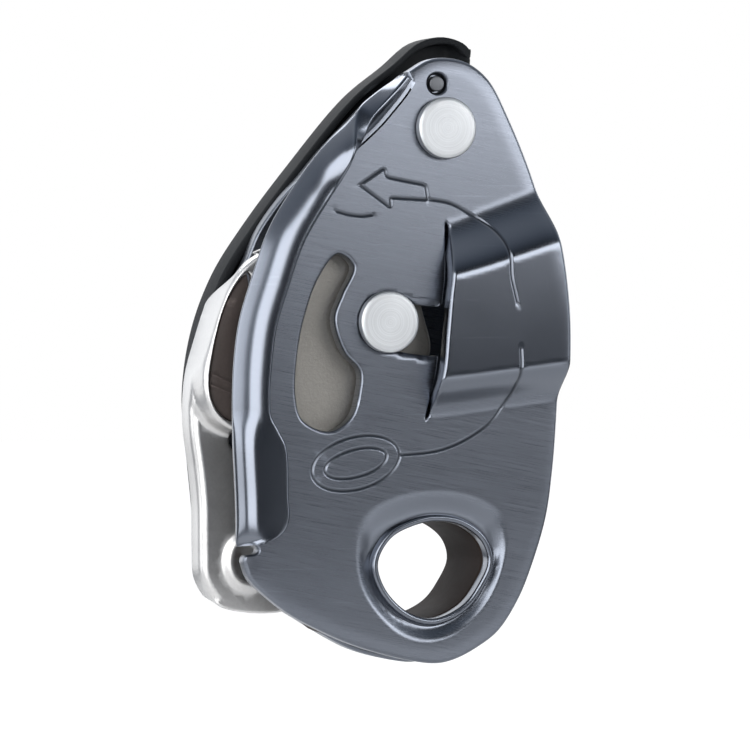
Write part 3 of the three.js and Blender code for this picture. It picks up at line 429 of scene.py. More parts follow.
def cut_sheet(outline, holes, lines, spacing, insets, gone=None):
    """Triangles over a flat shape with holes: its places, its triangles and the edges of its border."""
    points = []
    edges = []

    def add(line, closed):
        start = len(points)
        count = len(line)
        points.extend(Vector(place) for place in line)
        edges.extend((start + i, start + (i + 1) % count) for i in range(count if closed else count - 1))

    add(outline, True)
    for inset in insets:
        add(moved(outline, -inset), True)
    for hole in holes:
        add(hole, True)
        for inset in insets:
            add(moved(hole, inset), True)
    for line in lines:
        add(line, False)
    low = outline.min(axis=0)
    high = outline.max(axis=0)
    rows = []
    for row, z in enumerate(np.arange(low[1], high[1], spacing * ROW_SHARE)):
        across = np.arange(low[0] + (row % 2) * spacing / 2, high[0], spacing)
        rows.append(np.column_stack([across, np.full(len(across), z)]))
    grid = np.vstack(rows)
    starts = np.array([points[a] for a, b in edges])
    ends = np.array([points[b] for a, b in edges])
    grid = grid[inside(grid, outline)]
    grid = grid[distance_to(grid, starts, ends) > CLEAR_SHARE * spacing]
    points.extend(Vector(place) for place in grid)
    found = delaunay_2d_cdt(points, edges, [], 0, 1e-5, False)
    places = np.array([tuple(place) for place in found[0]])
    triangles = np.array(found[2])
    middles = places[triangles].mean(axis=1)
    kept = inside(middles, outline)
    for hole in holes:
        kept &= ~inside(middles, hole)
    if gone is not None:
        kept &= ~gone(middles)
    triangles = triangles[kept]
    a, b, c = (places[triangles[:, k]] for k in range(3))
    turn = (b[:, 0] - a[:, 0]) * (c[:, 1] - a[:, 1]) - (b[:, 1] - a[:, 1]) * (c[:, 0] - a[:, 0])
    wide = np.abs(turn) > 1e-7
    triangles = triangles[wide]
    turn = turn[wide]
    triangles[turn < 0] = triangles[turn < 0][:, ::-1]
    used, triangles = np.unique(triangles, return_inverse=True)
    triangles = triangles.reshape(-1, 3)
    ways = {(t[k], t[(k + 1) % 3]) for t in triangles.tolist() for k in range(3)}
    border = [(a, b) for a, b in ways if (b, a) not in ways]
    return places[used], triangles, sorted(border)


def sheet_solid(cut, radius, front, back):
    """Verts and faces of a sheet with rounded edges between a front and a back height over each place."""
    places, triangles, border = cut
    ends = np.array(border)
    edge = distance_to(places, places[ends[:, 0]], places[ends[:, 1]])
    short = np.clip(radius - edge, 0, radius)
    drop = radius - np.sqrt(radius ** 2 - short ** 2)
    near = front(places) + drop
    far = back(places) - drop
    count = len(places)
    verts = np.vstack([
        np.column_stack([places[:, 0], near, places[:, 1]]),
        np.column_stack([places[:, 0], far, places[:, 1]]),
    ])
    faces = [tuple(t) for t in triangles.tolist()]
    faces += [(c + count, b + count, a + count) for a, b, c in triangles.tolist()]
    faces += [(b, a, a + count, b + count) for a, b in border]
    return verts, faces


def level(y):
    """The same height everywhere."""
    return lambda places: np.full(len(places), float(y))


def plain_sheet(outline, holes, front, back, radius=0.5, spacing=1.6):
    """Flat plate with rounded edges."""
    insets = [radius * share for share in (0.06, 0.25, 0.55, 1.0, 1.2)]
    return sheet_solid(cut_sheet(outline, holes, [], spacing, insets), radius, level(front), level(back))


def turned_solid(centre, profile, radius=0.25, sides=96):
    """Verts and faces of a turned piece about an axis along Y. The profile runs from axis to axis."""
    line = rounded(profile, radius, 4, closed=False)
    turn = np.arange(sides) * 2 * np.pi / sides
    x = np.cos(turn)
    z = np.sin(turn)
    verts = [
        np.column_stack([centre[0] + reach * x, np.full(sides, y), centre[1] + reach * z])
        for reach, y in line[1:-1]
    ]
    faces = []
    for row in range(len(verts) - 1):
        a = row * sides
        b = a + sides
        faces += [(a + i, a + (i + 1) % sides, b + (i + 1) % sides, b + i) for i in range(sides)]
    first = len(verts) * sides
    last_row = first - sides
    verts.append(np.array([[centre[0], line[0][1], centre[1]], [centre[0], line[-1][1], centre[1]]]))
    for i in range(sides):
        after = (i + 1) % sides
        faces.append((first, after, i))
        faces.append((first + 1, last_row + i, last_row + after))
    return np.vstack(verts), faces


def ring_solid(centre, profile, radius=0.2, sides=96):
    """Verts and faces of a turned ring, whose profile is a closed polygon."""
    line = rounded(profile, radius, 4)
    turn = np.arange(sides) * 2 * np.pi / sides
    sections = [
        np.column_stack([centre[0] + line[:, 0] * np.cos(a), line[:, 1], centre[1] + line[:, 0] * np.sin(a)])
        for a in turn
    ]
    return loft_solid(sections, closed=True)


def loft_solid(sections, closed=False):
    """Verts and faces of a skin over sections of equal count, capped at both ends unless it is closed."""
    count = len(sections[0])
    total = len(sections)
    faces = []
    for row in range(total if closed else total - 1):
        a = row * count
        b = ((row + 1) % total) * count
        faces += [(a + i, a + (i + 1) % count, b + (i + 1) % count, b + i) for i in range(count)]
    if not closed:
        last = (total - 1) * count
        faces.append(tuple(reversed(range(count))))
        faces.append(tuple(range(last, last + count)))
    return np.vstack(sections), faces


def facing_out(verts, faces):
    """The faces, turned round where the solid would be inside out."""
    middle = verts.mean(axis=0)
    total = 0.0
    for face in faces:
        a = verts[face[0]] - middle
        for i in range(1, len(face) - 1):
            total += np.dot(a, np.cross(verts[face[i]] - middle, verts[face[i + 1]] - middle))
    return faces if total > 0 else [tuple(reversed(face)) for face in faces]


def joined(*solids):
    """Several solids as one."""
    verts = []
    faces = []
    for points, sides in solids:
        start = sum(len(part) for part in verts)
        verts.append(points)
        faces += [tuple(i + start for i in face) for face in sides]
    return np.vstack(verts), faces


# Blender objects

def add_piece(name, solid, material, body, nodes):
    """Links a mesh in place of its CAD nodes and lets it ride on its body."""
    verts, faces = solid
    mesh = bpy.data.meshes.new(name)
    mesh.from_pydata((verts * MM).tolist(), [], facing_out(verts, faces))
    mesh.validate()
    mesh.shade_smooth()
    mesh.set_sharp_from_angle(angle=SHARP_ANGLE)
    mesh.materials.append(material)
    piece = bpy.data.objects.new(name, mesh)
    bpy.context.scene.collection.objects.link(piece)
    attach(piece, body)
    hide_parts(*nodes)
    return piece


def mark_points(piece, name, amount):
    """Keeps a value on every point of a piece, such as its polish, the painted shade of its grooves or its
    turning.
    """
    layer = piece.data.attributes.new(name, "FLOAT", "POINT")
    layer.data.foreach_set("value", np.asarray(amount, dtype=np.float32))


def mark_turning(piece, centre):
    """Keeps the distance from the turning axis, in millimetres, on every point of a piece."""
    verts = np.array([vertex.co for vertex in piece.data.vertices]) / MM
    mark_points(piece, "turning", np.hypot(verts[:, 0] - centre[0], verts[:, 2] - centre[1]))


def dress_node(name, material):
    """Gives a carried-over CAD node its finish."""
    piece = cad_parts[name]
    for slot in piece.material_slots:
        slot.material = material


# Shared effects

def new_group(name, inputs, outputs):
    """Empty shader node group with float sockets."""
    group = bpy.data.node_groups.new(name, "ShaderNodeTree")
    for name_in, value in inputs:
        socket = group.interface.new_socket(name_in, in_out="INPUT", socket_type="NodeSocketFloat")
        socket.default_value = value
    for name_out in outputs:
        group.interface.new_socket(name_out, in_out="OUTPUT", socket_type="NodeSocketFloat")
    return group, group.nodes.new("NodeGroupInput"), group.nodes.new("NodeGroupOutput")


def set_input(tree, socket, value):
    """Sets a socket to a number or links it to another socket."""
    if isinstance(value, (int, float)):
        socket.default_value = value
    else:
        tree.links.new(value, socket)


def maths(tree, operation, *values):
    """Maths node with its inputs set or linked."""
    node = tree.nodes.new("ShaderNodeMath")
    node.operation = operation
    for socket, value in zip(node.inputs, values):
        set_input(tree, socket, value)
    return node.outputs[0]


def weighted(tree, first, first_share, second, second_share):
    """Sum of two values, each times its share."""
    return maths(tree, "ADD", maths(tree, "MULTIPLY", first, first_share),
                 maths(tree, "MULTIPLY", second, second_share))


def spread(tree, value, low, high, out_low, out_high):
    """Moves a value from one range to another."""
    node = tree.nodes.new("ShaderNodeMapRange")
    tree.links.new(value, node.inputs["Value"])
    for socket, number in zip(("From Min", "From Max", "To Min", "To Max"), (low, high, out_low, out_high)):
        set_input(tree, node.inputs[socket], number)
    return node.outputs["Result"]


def noise(tree, vector, scale, detail=2.0, roughness=0.5):
    """Noise texture's value."""
    node = tree.nodes.new("ShaderNodeTexNoise")
    node.inputs["Detail"].default_value = detail
    node.inputs["Roughness"].default_value = roughness
    tree.links.new(vector, node.inputs["Vector"])
    set_input(tree, node.inputs["Scale"], scale)
    return node.outputs["Fac"]


def kept_value(tree, name):
    """A value that the mesh keeps on its points."""
    node = tree.nodes.new("ShaderNodeAttribute")
    node.attribute_name = name
    return node.outputs["Fac"]


def brushing_group():
    """Fine parallel lines left by brushing a flat sheet."""
    group, given, result = new_group("Brushing", [("Lean", 0.19), ("Fineness", 1.0)], ["Lines", "Bands"])
    place = group.nodes.new("ShaderNodeTexCoord").outputs["Object"]
    turn = group.nodes.new("ShaderNodeCombineXYZ")
    group.links.new(given.outputs["Lean"], turn.inputs["Y"])
    for name, scale in (("Lines", (120, 120, 26000)), ("Bands", (30, 30, 6000))):
        turned = group.nodes.new("ShaderNodeMapping")
        group.links.new(place, turned.inputs["Vector"])
        group.links.new(turn.outputs[0], turned.inputs["Rotation"])
        stretch = group.nodes.new("ShaderNodeVectorMath")
        stretch.operation = "MULTIPLY"
        stretch.inputs[1].default_value = scale
        group.links.new(turned.outputs[0], stretch.inputs[0])
        group.links.new(noise(group, stretch.outputs[0], given.outputs["Fineness"], 2), result.inputs[name])
    return group


def grain_group():
    """Fine even grain of blasted metal or moulded plastic, and its slow clouding."""
    group, given, result = new_group("Grain", [("Fineness", 2500.0)], ["Grain", "Clouds"])
    place = group.nodes.new("ShaderNodeTexCoord").outputs["Object"]
    group.links.new(noise(group, place, given.outputs["Fineness"], 3, 0.6), result.inputs["Grain"])
    group.links.new(noise(group, place, 90, 3), result.inputs["Clouds"])
    return group


def marks_group():
    """Sparse hairline scratches and faint smudges from handling."""
    group, given, result = new_group("Handling Marks", [("Amount", 0.5)], ["Scratches", "Smudges"])
    place = group.nodes.new("ShaderNodeTexCoord").outputs["Object"]
    hairlines = []
    for number, lean in enumerate((0.7, -0.4, 2.1)):
        turned = group.nodes.new("ShaderNodeMapping")
        turned.inputs["Rotation"].default_value = (0.1, lean, 0.2)
        turned.inputs["Location"].default_value = (0.01 * number, 0, 0)
        turned.inputs["Scale"].default_value = (35, 35, 2600)
        group.links.new(place, turned.inputs["Vector"])
        hairlines.append(spread(group, noise(group, turned.outputs[0], 1.0, 1), 0.72, 0.8, 0, 1))
    most = maths(group, "MAXIMUM", maths(group, "MAXIMUM", hairlines[0], hairlines[1]), hairlines[2])
    group.links.new(maths(group, "MULTIPLY", most, given.outputs["Amount"]), result.inputs["Scratches"])
    smudge = spread(group, noise(group, place, 45, 4, 0.6), 0.42, 0.72, 0, 1)
    group.links.new(maths(group, "MULTIPLY", smudge, given.outputs["Amount"]), result.inputs["Smudges"])
    return group


def edge_wear_and_sheen_group():
    """Brighter edges: bare metal where a finish rubs off, and on the plastic a painted edge highlight."""
    group, given, result = new_group("Edge Wear", [("Amount", 0.5)], ["Wear"])
    point = group.nodes.new("ShaderNodeNewGeometry").outputs["Pointiness"]
    place = group.nodes.new("ShaderNodeTexCoord").outputs["Object"]
    edge = spread(group, point, 0.53, 0.62, 0, 1)
    broken = spread(group, noise(group, place, 900, 3), 0.35, 0.65, 0.2, 1)
    worn = maths(group, "MULTIPLY", edge, broken)
    group.links.new(maths(group, "MULTIPLY", worn, given.outputs["Amount"]), result.inputs["Wear"])
    return group


def turning_group():
    """Fine rings left by a lathe, from the distance to the axis kept on the mesh."""
    group, given, result = new_group("Turning Rings", [("Pitch", 6.0)], ["Rings", "Shade"])
    reach = kept_value(group, "turning")
    along = group.nodes.new("ShaderNodeCombineXYZ")
    group.links.new(maths(group, "MULTIPLY", reach, given.outputs["Pitch"]), along.inputs["X"])
    group.links.new(noise(group, along.outputs[0], 1.0, 3, 0.7), result.inputs["Rings"])
    slow = group.nodes.new("ShaderNodeCombineXYZ")
    group.links.new(maths(group, "MULTIPLY", reach, 1.6), slow.inputs["X"])
    group.links.new(noise(group, slow.outputs[0], 1.0, 1), result.inputs["Shade"])
    return group


effects = {}


def effect(material, name, **values):
    """Places a shared effect in a material with its own values."""
    makers = {
        "brushing": brushing_group, "grain": grain_group, "marks": marks_group, "wear": edge_wear_and_sheen_group,
        "turning": turning_group,
    }
    if name not in effects:
        effects[name] = makers[name]()
    node = material.node_tree.nodes.new("ShaderNodeGroup")
    node.node_tree = effects[name]
    for socket, value in values.items():
        node.inputs[socket].default_value = value
    return node.outputs


# Materials

def new_material(name, metallic, roughness):
    """Material with its Principled shader and constant values."""
    material = bpy.data.materials.new(name)
    material.use_nodes = True
    shader = material.node_tree.nodes["Principled BSDF"]
    shader.inputs["Metallic"].default_value = metallic
    shader.inputs["Roughness"].default_value = roughness
    return material, material.node_tree, shader


def blend_colours(tree, share, first, second):
    """Colour between two colours, each a tuple or a link."""
    node = tree.nodes.new("ShaderNodeMix")
    node.data_type = "RGBA"
    tree.links.new(share, node.inputs[0])
    for socket, colour in ((node.inputs[6], first), (node.inputs[7], second)):
        if isinstance(colour, bpy.types.NodeSocket):
            tree.links.new(colour, socket)
        else:
            socket.default_value = (*colour[:3], 1)
    return node.outputs[2]


def bump(tree, shader, height, distance):
    """Feeds a height to the shader's normal."""
    node = tree.nodes.new("ShaderNodeBump")
    node.inputs["Distance"].default_value = distance
    node.inputs["Strength"].default_value = 1.0
    tree.links.new(height, node.inputs["Height"])
    tree.links.new(node.outputs[0], shader.inputs["Normal"])


def scaled(colour, share):
    """Darker or lighter tone of a colour."""
    return tuple(min(1.0, part * share) for part in colour[:3])


def plate_material(looks):
    """Slate grey anodised aluminium, brushed on its flats and smooth on its bends, with painted shade in its
    pressed lines.
    """
    material, tree, shader = new_material("Anodised Plate", 1.0, looks.roughness)
    brushing = effect(material, "brushing", Lean=looks.lean)
    marks = effect(material, "marks", Amount=looks.marks)
    wear = effect(material, "wear", Amount=looks.wear)
    grain = effect(material, "grain", Fineness=1800)
    polish = kept_value(tree, "polish")
    groove_shade = kept_value(tree, "groove_shade")
    brushed = maths(tree, "SUBTRACT", 1.0, maths(tree, "MULTIPLY", polish, 0.85))
    lines = maths(tree, "MULTIPLY", maths(tree, "SUBTRACT", brushing["Lines"], 0.5), brushed)
    bands = maths(tree, "MULTIPLY", maths(tree, "SUBTRACT", brushing["Bands"], 0.5), brushed)
    tone = maths(tree, "ADD", 0.5, weighted(tree, lines, 0.6, bands, 0.35))
    colour = blend_colours(tree, tone, scaled(looks.colour, 0.72), scaled(looks.colour, 1.3))
    colour = blend_colours(tree, wear["Wear"], colour, scaled(looks.colour, 2.6))
    colour = blend_colours(tree, marks["Scratches"], colour, scaled(looks.colour, 1.7))
    # Painted shade: the plate's colour is darkened inside the pressed lines, where shade falls.
    deep = maths(tree, "MULTIPLY", groove_shade, 0.85)
    tree.links.new(blend_colours(tree, deep, colour, scaled(looks.colour, 0.2)), shader.inputs["Base Color"])
    rough = maths(tree, "ADD", looks.roughness, weighted(tree, lines, 0.25, marks["Smudges"], 0.06))
    rough = maths(tree, "SUBTRACT", rough, maths(tree, "MULTIPLY", polish, 0.1))
    tree.links.new(rough, shader.inputs["Roughness"])
    height = maths(tree, "ADD", lines, maths(tree, "MULTIPLY", grain["Grain"], 0.12))
    bump(tree, shader, height, 0.0000025)
    return material


def steel_material(name, colour, roughness, fineness=2200, depth=0.00001, marks=0.4, clouds=0.12):
    """Satin or blasted steel with grain, clouding and handling marks."""
    material, tree, shader = new_material(name, 1.0, roughness)
    grain = effect(material, "grain", Fineness=fineness)
    handling = effect(material, "marks", Amount=marks)
    wear = effect(material, "wear", Amount=0.4)
    tone = weighted(tree, grain["Grain"], 0.5, grain["Clouds"], 0.5)
    blended = blend_colours(tree, tone, scaled(colour, 1 - 2 * clouds), scaled(colour, 1 + 2 * clouds))
    blended = blend_colours(tree, wear["Wear"], blended, scaled(colour, 1.35))
    tree.links.new(blended, shader.inputs["Base Color"])
    rough = weighted(tree, grain["Grain"], 0.1, handling["Smudges"], 0.08)
    tree.links.new(maths(tree, "ADD", roughness - 0.05, rough), shader.inputs["Roughness"])
    bump(tree, shader, maths(tree, "SUBTRACT", grain["Grain"], handling["Scratches"]), depth)
    return material


def turned_material(name, colour, roughness):
    """Lathe-turned steel with fine rings."""
    material, tree, shader = new_material(name, 1.0, roughness)
    rings = effect(material, "turning", Pitch=6)
    grain = effect(material, "grain", Fineness=3000)
    shade = spread(tree, weighted(tree, rings["Rings"], 0.75, rings["Shade"], 0.25), 0.32, 0.68, 0, 1)
    blended = blend_colours(tree, shade, scaled(colour, 0.68), scaled(colour, 1.15))
    tree.links.new(blended, shader.inputs["Base Color"])
    rough = spread(tree, rings["Shade"], 0.3, 0.7, roughness - 0.06, roughness + 0.08)
    tree.links.new(rough, shader.inputs["Roughness"])
    height = maths(tree, "ADD", rings["Rings"], maths(tree, "MULTIPLY", grain["Grain"], 0.1))
    bump(tree, shader, height, 0.00003)
    return material


def plastic_material(name, colour, roughness, fineness=1600, depth=0.00003):
    """Moulded plastic with fine texture and a painted highlight along its edges, where the edge mask lifts
    its colour.
    """
    material, tree, shader = new_material(name, 0.0, roughness)
    grain = effect(material, "grain", Fineness=fineness)
    handling = effect(material, "marks", Amount=0.35)
    wear = effect(material, "wear", Amount=0.35)
    tone = weighted(tree, grain["Grain"], 0.4, grain["Clouds"], 0.6)
    blended = blend_colours(tree, tone, scaled(colour, 0.7), scaled(colour, 1.35))
    # Painted highlight: the edge mask lifts the plastic's colour sixfold to stand in for the light caught
    # along its edges.
    blended = blend_colours(tree, wear["Wear"], blended, scaled(colour, 6))
    tree.links.new(blended, shader.inputs["Base Color"])
    rough = weighted(tree, grain["Grain"], 0.14, handling["Smudges"], -0.08)
    tree.links.new(maths(tree, "ADD", roughness - 0.06, rough), shader.inputs["Roughness"])
    shader.inputs["Specular IOR Level"].default_value = 0.08
    bump(tree, shader, grain["Grain"], depth)
    return material


finishes = {}


def finish_of(name):
    """One of the object's finishes, made on first use."""
    if name in finishes:
        return finishes[name]
    looks = bpy.context.scene.belay_looks
    makers = {
        "plate": lambda: plate_material(looks),
        "turned": lambda: turned_material("Turned Steel", looks.steel_colour, looks.steel_roughness),
        "pressed": lambda: steel_material("Pressed Steel", looks.pressed_colour, 0.36),
        "darkened": lambda: steel_material("Darkened Steel", (0.12, 0.125, 0.135), 0.42),
        "blasted": lambda: steel_material(
            "Blasted Cam Steel", looks.cam_colour, 0.46, fineness=2600, depth=0.00006, marks=0.2,
            clouds=0.16),
        "wire": lambda: steel_material("Spring Wire", (0.4, 0.4, 0.41), 0.3),
        "bronze": lambda: steel_material("Bearing Bronze", (0.45, 0.3, 0.13), 0.35),
        "nylon": lambda: plastic_material("Black Nylon", looks.nylon_colour, 0.56),
        "plastic": lambda: plastic_material(
            "Dark Plastic", looks.plastic_colour, 0.62, fineness=900, depth=0.00001),
        "insert": lambda: plastic_material("Insert Plastic", looks.insert_colour, 0.5, fineness=1800),
    }
    finishes[name] = makers[name]()
    return finishes[name]


# Shape of the front plate

def slit_at(z):
    """Place across the plate where the bridge's free edge runs at a height."""
    line = smooth_line(SLIT, 12)
    return np.interp(z, line[:, 1], line[:, 0])


def bridge_height(places):
    """How far the pressed bridge stands forward of the plate."""
    left, right = BRIDGE_SPAN
    share = (places[:, 0] - left) / (right - left)
    low, low_flat, high_flat, high = (a + (b - a) * share for a, b in BRIDGE_CREASES)
    up = eased(places[:, 1], low, low_flat)
    down = 1 - eased(places[:, 1], high_flat, high)
    return np.where(places[:, 0] > slit_at(places[:, 1]) + 0.1, BRIDGE_RISE * up * down, 0)


def groove_depth(places, lines):
    """Depth of the pressed lines."""
    depth = np.zeros(len(places))
    for line in lines:
        share = np.clip(from_line(places, line) / (0.5 * GROOVE_WIDTH), 0, 1)
        depth = np.maximum(depth, GROOVE_DEPTH * 0.5 * (1 + np.cos(np.pi * share)))
    return depth


def sign_lines():
    """The middles of the pressed lines."""
    turn = np.linspace(0, 2 * np.pi, 60)
    cosine = math.cos(RING_LEAN)
    sine = math.sin(RING_LEAN)
    rings = []
    for across, up in RING_SIZES:
        x = across * np.cos(turn)
        z = up * np.sin(turn)
        rings.append(np.column_stack([
            RING_CENTRE[0] + x * cosine - z * sine, RING_CENTRE[1] + x * sine + z * cosine,
        ]))
    arrow = rounded(ARROW_SIGN, 0.5, 4, closed=False)
    ropes = [smooth_line(line, 10) for line in (ROPE_UPPER, ROPE_LOWER, ROPE_END)]
    return [evenly(line, 0.3) for line in [*ropes, *rings, arrow]]


def dish_depth(places):
    """Depth of the dish round the attachment hole, with a rolled bead at the hole."""
    hole = loop_of(HOLE)
    out = -from_loop(places, hole)
    into = from_loop(places, loop_of(DISH))
    below = np.clip(into, 0, None)
    share = below / np.maximum(below + np.maximum(out - BEAD_WIDTH, 0), 1e-6)
    bowl = DISH_DEPTH * np.where(into > 0, eased(share, 0, 1), 0)
    round_top = np.sqrt(np.clip(1 - ((out - BEAD_WIDTH / 2) / (BEAD_WIDTH / 2)) ** 2, 0, 1))
    bead = DISH_DEPTH * (1 - round_top)
    return np.where(out < BEAD_WIDTH, np.where(out < BEAD_WIDTH / 2, 0, bead), bowl)


def neck_slot():
    """Slot along the arc that the axle's neck follows as the plate swings open."""
    off = AXLE - PIVOT
    radius = np.hypot(*off)
    start = math.atan2(off[1], off[0])
    turn = np.linspace(start, start + SLOT_TURN, 24)
    way = np.column_stack([np.cos(turn), np.sin(turn)])
    outer = PIVOT + SLOT_REACH * way
    inner = PIVOT + (2 * radius - SLOT_REACH) * way
    half = np.linspace(start + math.pi, start + 2 * math.pi, 17)[1:-1]
    end = AXLE + SLOT_END * np.column_stack([np.cos(half), np.sin(half)])
    return np.vstack([outer, inner[::-1], end])


def folded_edge():
    """The plate's left edge, folded forward over itself."""
    stations = evenly(smooth_line(FOLD_STATIONS, 8), 0.7)
    middle = (SWING_INNER + SWING_OUTER) / 2
    half = SHEET / 2
    along = np.gradient(stations[:, :2], axis=0)
    along /= np.linalg.norm(along, axis=1, keepdims=True)
    bend = np.linspace(0, np.pi / 2, 6)[:, None]
    sections = []
    for (x, z, turn, radius, flat), (ax, az) in zip(stations, along):
        sweep = np.linspace(0, min(turn, 1) * np.pi, 22)
        around = np.column_stack([-np.sin(sweep), np.cos(sweep)])
        centre = np.array([0, middle - radius])
        outer = centre + (radius + half) * around
        inner = centre + (radius - half) * around
        onward = np.array([-np.cos(sweep[-1]), -np.sin(sweep[-1])])
        out = (outer[-1] - inner[-1]) / (2 * half)
        reach = max(flat, 2 * FOLD_CORNER)
        straight = onward * (reach - FOLD_CORNER)
        end = outer[-1] + straight + FOLD_CORNER * (np.sin(bend) * onward + (np.cos(bend) - 1) * out)
        close = inner[-1] + straight + FOLD_CORNER * (np.cos(bend) * onward + (1 - np.sin(bend)) * out)
        run = outer[-1] + straight * np.linspace(0, 1, 10)[1:-1, None]
        face = np.vstack([outer, run, end])
        across = np.clip((face[:, 0] + radius + half) / (reach + radius + half), 0, 1)
        forward = np.clip((middle - radius - face[:, 1]) / (radius + half), 0, 1)
        crown = FOLD_CROWN * min(1, NARROW_FOLD / flat) ** 2
        face[:, 1] += crown * forward * (1 - across) ** 2
        back = [(FOLD_OVERLAP, SWING_INNER)]
        front = [(FOLD_OVERLAP, SWING_OUTER)]
        section = np.vstack([back, face, close, inner[::-1], front])
        sections.append(np.column_stack([
            x + az * section[:, 0], section[:, 1], z - ax * section[:, 0],
        ]))
    return loft_solid(sections)


def swing_plate_solid():
    """The front plate, how smooth each of its points is and how deep it lies in a pressed line, which sets
    the painted shade of the lines.
    """
    edge = evenly(smooth_line(SWING_EDGE, 10), 0.6)[:-1]
    notch = evenly(smooth_line(SWING_NOTCH, 6), 0.3)[:-1]
    crease = evenly(smooth_line([station[:2] for station in FOLD_STATIONS], 6), 0.6)
    outline = np.vstack([edge, notch, crease])
    slit = evenly(smooth_line(SLIT, 12), 0.5)
    gap = np.vstack([slit, (slit + (SLIT_WIDTH, 0))[::-1][1:-1]])
    slot = neck_slot()
    slot_line = closed_line(slot)
    slot_line = slot_line[slot_line[:, 0] < slit_at(slot_line[:, 1]) - 0.2]
    hole = loop_of(HOLE)
    dish = loop_of(DISH)
    stop = stop_place(STOP_TURN)
    holes = [loop_of(KIDNEY, 0.5), gap, hole, circle(PIVOT, PIVOT_BORE), circle(stop, STOP_BORE, 28)]
    grooves = sign_lines()
    shares = (-0.55, -0.5, -0.25, 0, 0.25, 0.5, 0.55)
    lines = [beside(line, GROOVE_WIDTH * share) for line in grooves for share in shares]
    lines += rings_round(hole, (0.05, 0.15, 0.3, 0.45, 0.6, 0.75, 0.9, 1.05, 1.15, 1.2, 1.35, 1.6))
    lines += rings_round(dish, (-0.9, -0.4, 0, 0.3))
    lines.append(slot_line)
    lines += [closed_line(circle(stop, STOP_BORE + out, 28)) for out in (0.25, 0.4, 0.55)]

    def in_slot(points):
        return inside(points, slot) & (points[:, 0] < slit_at(points[:, 1]) + 0.2)

    cut = cut_sheet(outline, holes, lines, 0.75, [0.03, 0.12, 0.3, 0.5, 0.62], in_slot)

    def front(places):
        from_stop = np.hypot(*(places - stop).T) - STOP_BORE
        lead_in = LEAD_IN * np.clip(1 - from_stop / LEAD_WIDTH, 0, 1)
        rim = EDGE_DROP * np.clip(1 - from_line(places, edge) / EDGE_REACH, 0, 1) ** 2
        pressed = dish_depth(places) + groove_depth(places, grooves) + lead_in + rim
        return SWING_OUTER - bridge_height(places) + pressed

    def back(places):
        return SWING_INNER - bridge_height(places)

    verts, faces = sheet_solid(cut, 0.5, front, back)
    places = verts[:, [0, 2]]
    from_slit = np.clip((places[:, 0] - slit_at(places[:, 1])) / LEAN_REACH, 0, 1)
    verts[:, 0] -= BRIDGE_LEAN * (1 - from_slit) ** 2 * bridge_height(places) / BRIDGE_RISE
    near_bridge = bridge_height(cut[0]) / BRIDGE_RISE
    in_dish = eased(from_loop(cut[0], dish), -0.6, 3.2)
    smooth = np.maximum(eased(near_bridge, 0.02, 0.3), in_dish)
    fold = folded_edge()
    polish = np.concatenate([smooth, smooth, np.ones(len(fold[0]))])
    # Depth share of the pressed lines on the front face, which sets their painted shade
    pressed = groove_depth(cut[0], grooves) / GROOVE_DEPTH
    groove_shade = np.concatenate([pressed, 0 * pressed, np.zeros(len(fold[0]))])
    return joined((verts, faces), fold), polish, groove_shade


# Shape of the friction plate

def friction_edge(inset=0.0):
    """The friction plate's left edge, drawn inward."""
    line = evenly(smooth_line(FRICTION_EDGE, 10), 0.6)
    return beside(line, inset)


def friction_solid():
    """Pressed plate with a walled left edge, a raised open island and an oval boss."""
    edge = friction_edge()
    inner = evenly(np.array(FRICTION_INNER, float), 1.0)[1:-1]
    outline = np.vstack([edge, inner])
    island = loop_of(ISLAND, 0.45)
    window = loop_of(WINDOW, 0.45)
    boss = oval(OVAL_BEAD, OVAL_SIZE)
    lines = rings_round(island, (1.1, 0.7, 0.4, 0.15, 0, -0.15, -0.3, -0.5, -0.75, -1.0))
    lines += rings_round(boss, (0, -0.4, -0.8, -1.2, -1.6, -2.2))
    lines += [friction_edge(inset) for inset in (0.08, 0.3, 0.65, 1.05, 1.4, 1.5, 1.6)]

    def rise(places):
        deep = from_loop(places, island)
        wall = 0.12 * eased(deep, -1.1, -0.15) + 0.62 * eased(deep, -0.2, 0.2)
        top = 0.26 * np.sqrt(np.clip(1 - (1 - np.clip(deep, 0, 1.0)) ** 2, 0, 1))
        bead = from_loop(places, boss)
        dome = 0.8 * eased(bead, 0, 1.5) - 0.35 * eased(bead, 2.0, 2.8)
        return ISLAND_RISE * (wall + top) + dome

    def walled(places):
        low, high = WALL_RANGE
        begun = eased(places[:, 1], low - 0.6, low + 0.6)
        return begun * (1 - eased(places[:, 1], high, high + WALL_FADE))

    def front(places):
        near = np.clip(WALL_ROUND - from_line(places, edge), 0, WALL_ROUND)
        drop = WALL_ROUND - np.sqrt(WALL_ROUND ** 2 - near ** 2)
        return FRICTION_FRONT - rise(places) + walled(places) * drop

    def back(places):
        flat = FRICTION_FRONT + FRICTION_SHEET - rise(places)
        at_wall = walled(places) * (from_line(places, edge) < WALL_SHEET)
        return flat + (WALL_BACK - flat) * at_wall

    cut = cut_sheet(outline, [window], lines, 0.8, [0.02, 0.1, 0.25, 0.4])
    return sheet_solid(cut, 0.35, front, back)


def insert_solid():
    """Plastic insert of the island with two slanting ridges."""
    outline = moved(loop_of(WINDOW, 0.45), -INSERT_GAP)
    ridges = [np.array(ridge) for ridge in INSERT_RIDGES]
    lines = [beside(evenly(ridge, 0.4), off) for ridge in ridges for off in (-0.35, -0.15, 0, 0.15, 0.35)]

    def front(places):
        height = np.zeros(len(places))
        for ridge in ridges:
            height = np.maximum(height, 0.3 * (1 - eased(from_line(places, ridge), 0.12, 0.4)))
        crown = 0.3 * eased(from_loop(places, outline), 0, 1.2)
        return INSERT_FRONT - height - crown

    cut = cut_sheet(outline, [], lines, 0.7, [0.03, 0.15, 0.3])
    return sheet_solid(cut, 0.3, front, level(INSERT_BACK))


# Other shapes

